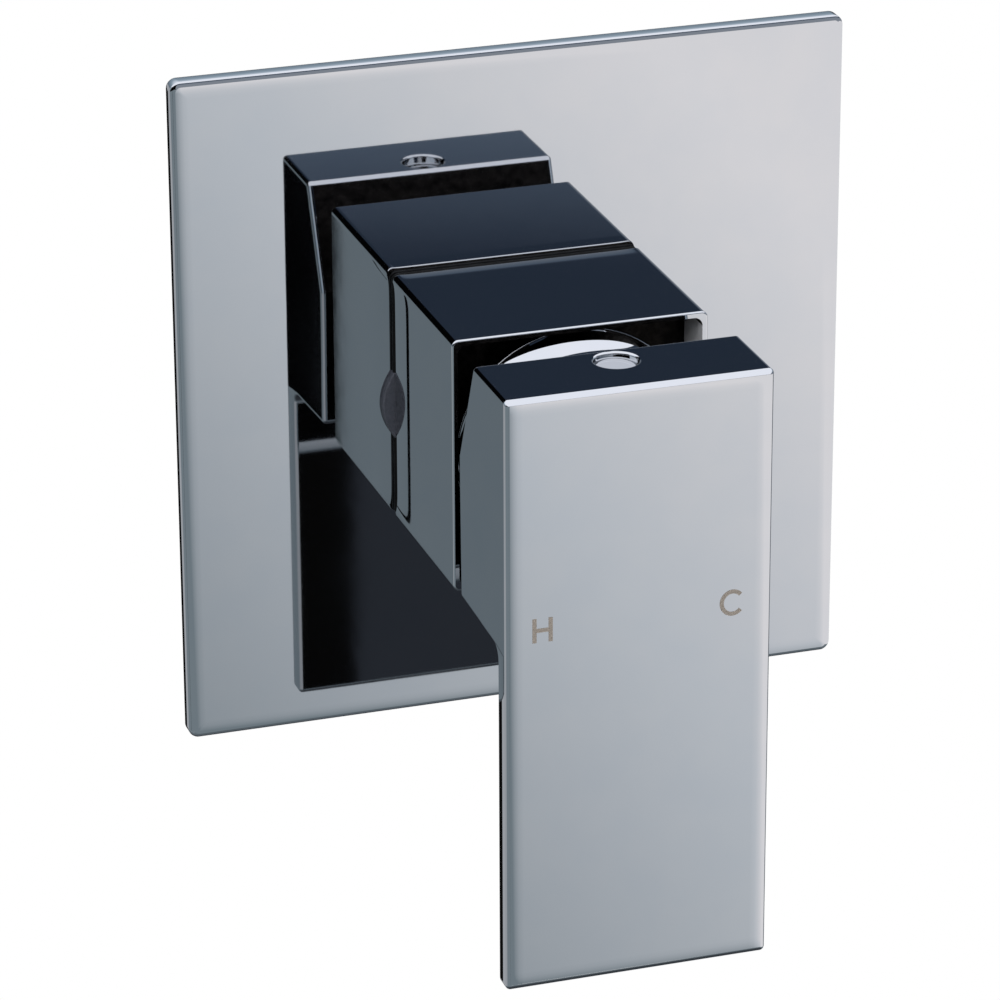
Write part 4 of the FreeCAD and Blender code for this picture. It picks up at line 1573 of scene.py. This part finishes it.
@dataclass(frozen=True)
class Card:
    """A large card round the set that only mirrors see, cut from a sphere about the part.

    Its colour runs between stops along a slanted line across it: so much a degree of azimuth plus so much a
    degree of elevation. Azimuth 0 is in front of the part and 90 to its right.

    Attributes:
        name: what it is.
        azimuth: its left and right edge, in degrees.
        elevation: its lower and upper edge, in degrees.
        stops: share of the run and sRGB colour of each stop.
        run: azimuth and elevation where the run starts, and where it ends.
        strength: brightness of white.
        reach: radius of the sphere in metres.
        steps: points along each of its edges.
    """

    name: str
    azimuth: tuple[float, float]
    elevation: tuple[float, float]
    stops: tuple[tuple[float, str], ...]
    run: tuple[tuple[float, float], tuple[float, float]] = ((0.0, 0.0), (0.0, 1.0))
    strength: float = 1.0
    reach: float = 24.0
    steps: int = 25

    def build(self) -> None:
        """Makes the card over azimuth and elevation; its colour follows their UV map."""
        edges = (np.linspace(*limits, self.steps) for limits in (self.azimuth, self.elevation))
        turn, rise = np.meshgrid(*edges)
        points = self.reach * toward(np.radians(turn), np.radians(rise))
        quads = quads_of(self.steps, self.steps)
        mesh = bpy.data.meshes.new(self.name)
        mesh.from_pydata(points.reshape(-1, 3).tolist(), [], quads.tolist())
        start, end = np.array(self.run[0]), np.array(self.run[1])
        along = (end - start) / ((end - start) @ (end - start))
        share = (np.stack([turn, rise], axis=-1) - start) @ along
        coords = np.stack([share.ravel()[quads], np.full(quads.shape, 0.5)], axis=-1)
        mesh.uv_layers.new(name="run").data.foreach_set("uv", coords.astype(np.float32).ravel())
        mesh.materials.append(self._glow())
        card = put(self.name, mesh)
        card.visible_camera = card.visible_diffuse = card.visible_shadow = False

    def _glow(self) -> bpy.types.Material:
        """Makes a light whose colour is read along the run.

        Returns:
            The material.
        """
        made = bpy.data.materials.new(self.name)
        tree = node_tree(made)
        share = add_node(tree, "ShaderNodeSeparateXYZ",
                         {"Vector": add_node(tree, "ShaderNodeUVMap", uv_map="run").outputs["UV"]})
        ramp = add_node(tree, "ShaderNodeValToRGB", {"Fac": share.outputs["X"]})
        marks = ramp.color_ramp.elements
        while len(marks) > 1:
            marks.remove(marks[-1])
        marks[0].position, marks[0].color = self.stops[0][0], linear(self.stops[0][1])
        for place, code in self.stops[1:]:
            marks.new(place).color = linear(code)
        glow = add_node(tree, "ShaderNodeEmission",
                        {"Color": ramp.outputs["Color"], "Strength": self.strength})
        add_node(tree, "ShaderNodeOutputMaterial", {"Surface": glow.outputs["Emission"]})
        return made


@dataclass(frozen=True)
class Lamp:
    """A square soft lamp that looks at the part and that mirrors don't see.

    Attributes:
        name: what it is.
        place: where it stands, in metres.
        power: its power in watts.
        side: length of its side in metres.
    """

    name: str
    place: tuple[float, float, float]
    power: float
    side: float = 0.9

    def build(self) -> None:
        """Makes the lamp with its back turned away from the part."""
        light = bpy.data.lights.new(self.name, "AREA")
        light.size, light.energy = self.side, self.power
        lamp = put(self.name, light)
        back = unit(np.array(self.place))
        right = unit(np.cross(UP, back))
        stand(lamp, right, np.cross(back, right), back, self.place)
        lamp.visible_glossy = False


@dataclass
class Studio:
    """White set, soft lamps, cards for the chrome to mirror, and the camera.

    Attributes:
        ambient: brightness of the white surround on matt surfaces.
        floor_drop: how far the floor lies below the part, in metres.
        floor_reach: half of the floor's side, in metres.
        lens: focal length, in millimetres.
        sensor: width of the camera's sensor, in millimetres.
        clip: nearest and farthest distance that the camera sees, in metres.
        target: the point that the camera looks at, in millimetres.
        distance: how far the camera stands from it, in millimetres.
        azimuth: camera's angle round the part from its front, in degrees.
        elevation: camera's angle above the horizon.
        roll: camera's turn about its own line of sight.
        lamps: the soft lamps.
        cards: what the chrome mirrors.
    """

    ambient: float = 0.55
    floor_drop: float = 0.9
    floor_reach: float = 12.0
    lens: float = 184.41
    sensor: float = 36.0
    clip: tuple[float, float] = (0.05, 60.0)
    target: tuple[float, float, float] = (-2.8092, -4.0, -22.2684)
    distance: float = 897.52
    azimuth: float = -17.9945
    elevation: float = 22.5438
    roll: float = -0.2518
    lamps: tuple[Lamp, ...] = (
        Lamp("key", (-0.6, -0.9, 1.1), 9.0),
        Lamp("fill", (0.9, -0.8, 0.5), 5.0),
        Lamp("back", (0.3, 1.1, 0.8), 6.0),
    )
    cards: tuple[Card, ...] = (
        Card("pale_table_sweep", (-88, 100), (-34, -4),
             ((0.0, "#849097"), (0.62, "#D8DDE3"), (1.0, "#FFFDFF")), ((12.2, -26.6), (21.1, -18.6))),
        Card("shaded_floor", (-180, 180), (-89, -34),
             ((0.0, "#303438"), (0.6, "#464B51"), (1.0, "#849097")), ((0, -89), (0, -34))),
        Card("dark_stand", (-16.1, -14.9), (-34, -4), ((0.0, "#040405"),), reach=23.0),
        Card("navy_wall", (-3, 100), (-4, 30),
             ((0.0, "#959CA6"), (0.84, "#657385"), (0.98, "#384252"), (1.0, "#343F4F")), ((0, 10), (0, 20))),
        Card("black_wall", (-88, -3), (-4, 30), ((0.0, "#060607"),)),
        Card("overhead_softbox", (-180, 180), (30, 89), ((0.0, "#F3F6FF"),), strength=1.3),
        Card("grey_room_right", (100, 148), (-34, -2), ((0.0, "#70767D"),)),
        Card("navy_room_behind", (148, 163.75), (-34, -2), ((0.0, "#393D44"),)),
        Card("black_gap_behind", (163.75, 188), (-34, -2), ((0.0, "#0D0D0D"),)),
        Card("grey_room_left", (188, 272), (-34, -2), ((0.0, "#AFB3B8"),)),
        Card("pale_room_behind", (100, 272), (-2, 30),
             ((0.0, "#5F6B76"), (0.44, "#8FA0AE"), (0.7, "#D5DEEA"), (1.0, "#F0F6FF")), ((0, -2), (0, 30)),
             strength=1.15),
    )

    def build(self) -> None:
        """Sets the stage, the lights and the camera."""
        self._world()
        self._floor()
        for item in (*self.cards, *self.lamps):
            item.build()
        self._camera()
        bpy.context.scene.view_settings.view_transform = "Standard"

    @staticmethod
    def _seen_white(tree: bpy.types.NodeTree, other: bpy.types.Node,
                    white: bpy.types.Node) -> bpy.types.NodeSocket:
        """Mixes two shaders by how a ray comes.

        Args:
            tree: where the mix goes.
            other: what lights matt surfaces.
            white: what is seen straight, in a mirror or through glass.

        Returns:
            The mixed shader.
        """
        path = add_node(tree, "ShaderNodeLightPath")
        seen = path.outputs["Is Camera Ray"]
        for ray in ("Is Glossy Ray", "Is Transmission Ray"):
            seen = add_node(tree, "ShaderNodeMath", {0: seen, 1: path.outputs[ray]},
                            operation="MAXIMUM").outputs["Value"]
        both = add_node(tree, "ShaderNodeMixShader", {0: seen, 1: other.outputs[0], 2: white.outputs[0]})
        return both.outputs["Shader"]

    def _world(self) -> None:
        """White where it is seen, and a plain even light on everything else."""
        world = bpy.data.worlds.new("white_surround")
        bpy.context.scene.world = world
        tree = node_tree(world)
        soft = add_node(tree, "ShaderNodeBackground", {"Color": linear("#FFFFFF"), "Strength": self.ambient})
        white = add_node(tree, "ShaderNodeBackground", {"Color": linear("#FFFFFF"), "Strength": 1.0})
        add_node(tree, "ShaderNodeOutputWorld", {"Surface": self._seen_white(tree, soft, white)})

    def _floor(self) -> None:
        """A plain pale floor well below the part, white where it is seen."""
        reach, drop = self.floor_reach, cad_box[0].z - self.floor_drop
        mesh = bpy.data.meshes.new("floor")
        corners = [(-reach, -reach, drop), (reach, -reach, drop), (reach, reach, drop), (-reach, reach, drop)]
        mesh.from_pydata(corners, [], [(0, 1, 2, 3)])
        made = bpy.data.materials.new("pale_floor")
        tree = node_tree(made)
        matt = add_node(tree, "ShaderNodeBsdfDiffuse", {"Color": linear("#E6E6E4")})
        white = add_node(tree, "ShaderNodeEmission", {"Color": linear("#FFFFFF"), "Strength": 1.0})
        add_node(tree, "ShaderNodeOutputMaterial", {"Surface": self._seen_white(tree, matt, white)})
        mesh.materials.append(made)
        floor = put("floor", mesh)
        floor.visible_glossy = False

    def _camera(self) -> None:
        """Stands the camera back from its target along its angles, and rolls it."""
        turn, rise, roll = np.radians([self.azimuth, self.elevation, self.roll])
        back = toward(turn, rise)
        right = np.array([np.cos(turn), np.sin(turn), 0.0])
        up = np.cross(back, right)
        tilted = right * np.cos(roll) + up * np.sin(roll)
        upper = up * np.cos(roll) - right * np.sin(roll)
        place = (np.array(self.target) + back * self.distance) * MM
        optics = bpy.data.cameras.new("camera")
        optics.lens, optics.sensor_width = self.lens, self.sensor
        optics.clip_start, optics.clip_end = self.clip
        camera = put("camera", optics)
        stand(camera, tilted, upper, back, place)
        bpy.context.scene.camera = camera


def main() -> None:
    """Builds every sub-assembly, then the set and the camera."""
    logging.basicConfig(level=logging.INFO, format="%(message)s")
    shop = Workshop()
    plug = HandlePlug.from_frame()
    handle = Handle.from_frame()
    marks = IndexMarks(front=handle.front)
    for assembly in (Body(), WallPlate.from_frame(), Sleeve.from_frame(), DomeCover.from_frame(), Cartridge(),
                     handle, plug, marks):
        assembly.build(shop)
    Studio().build()


if __name__ == "__main__":
    main()
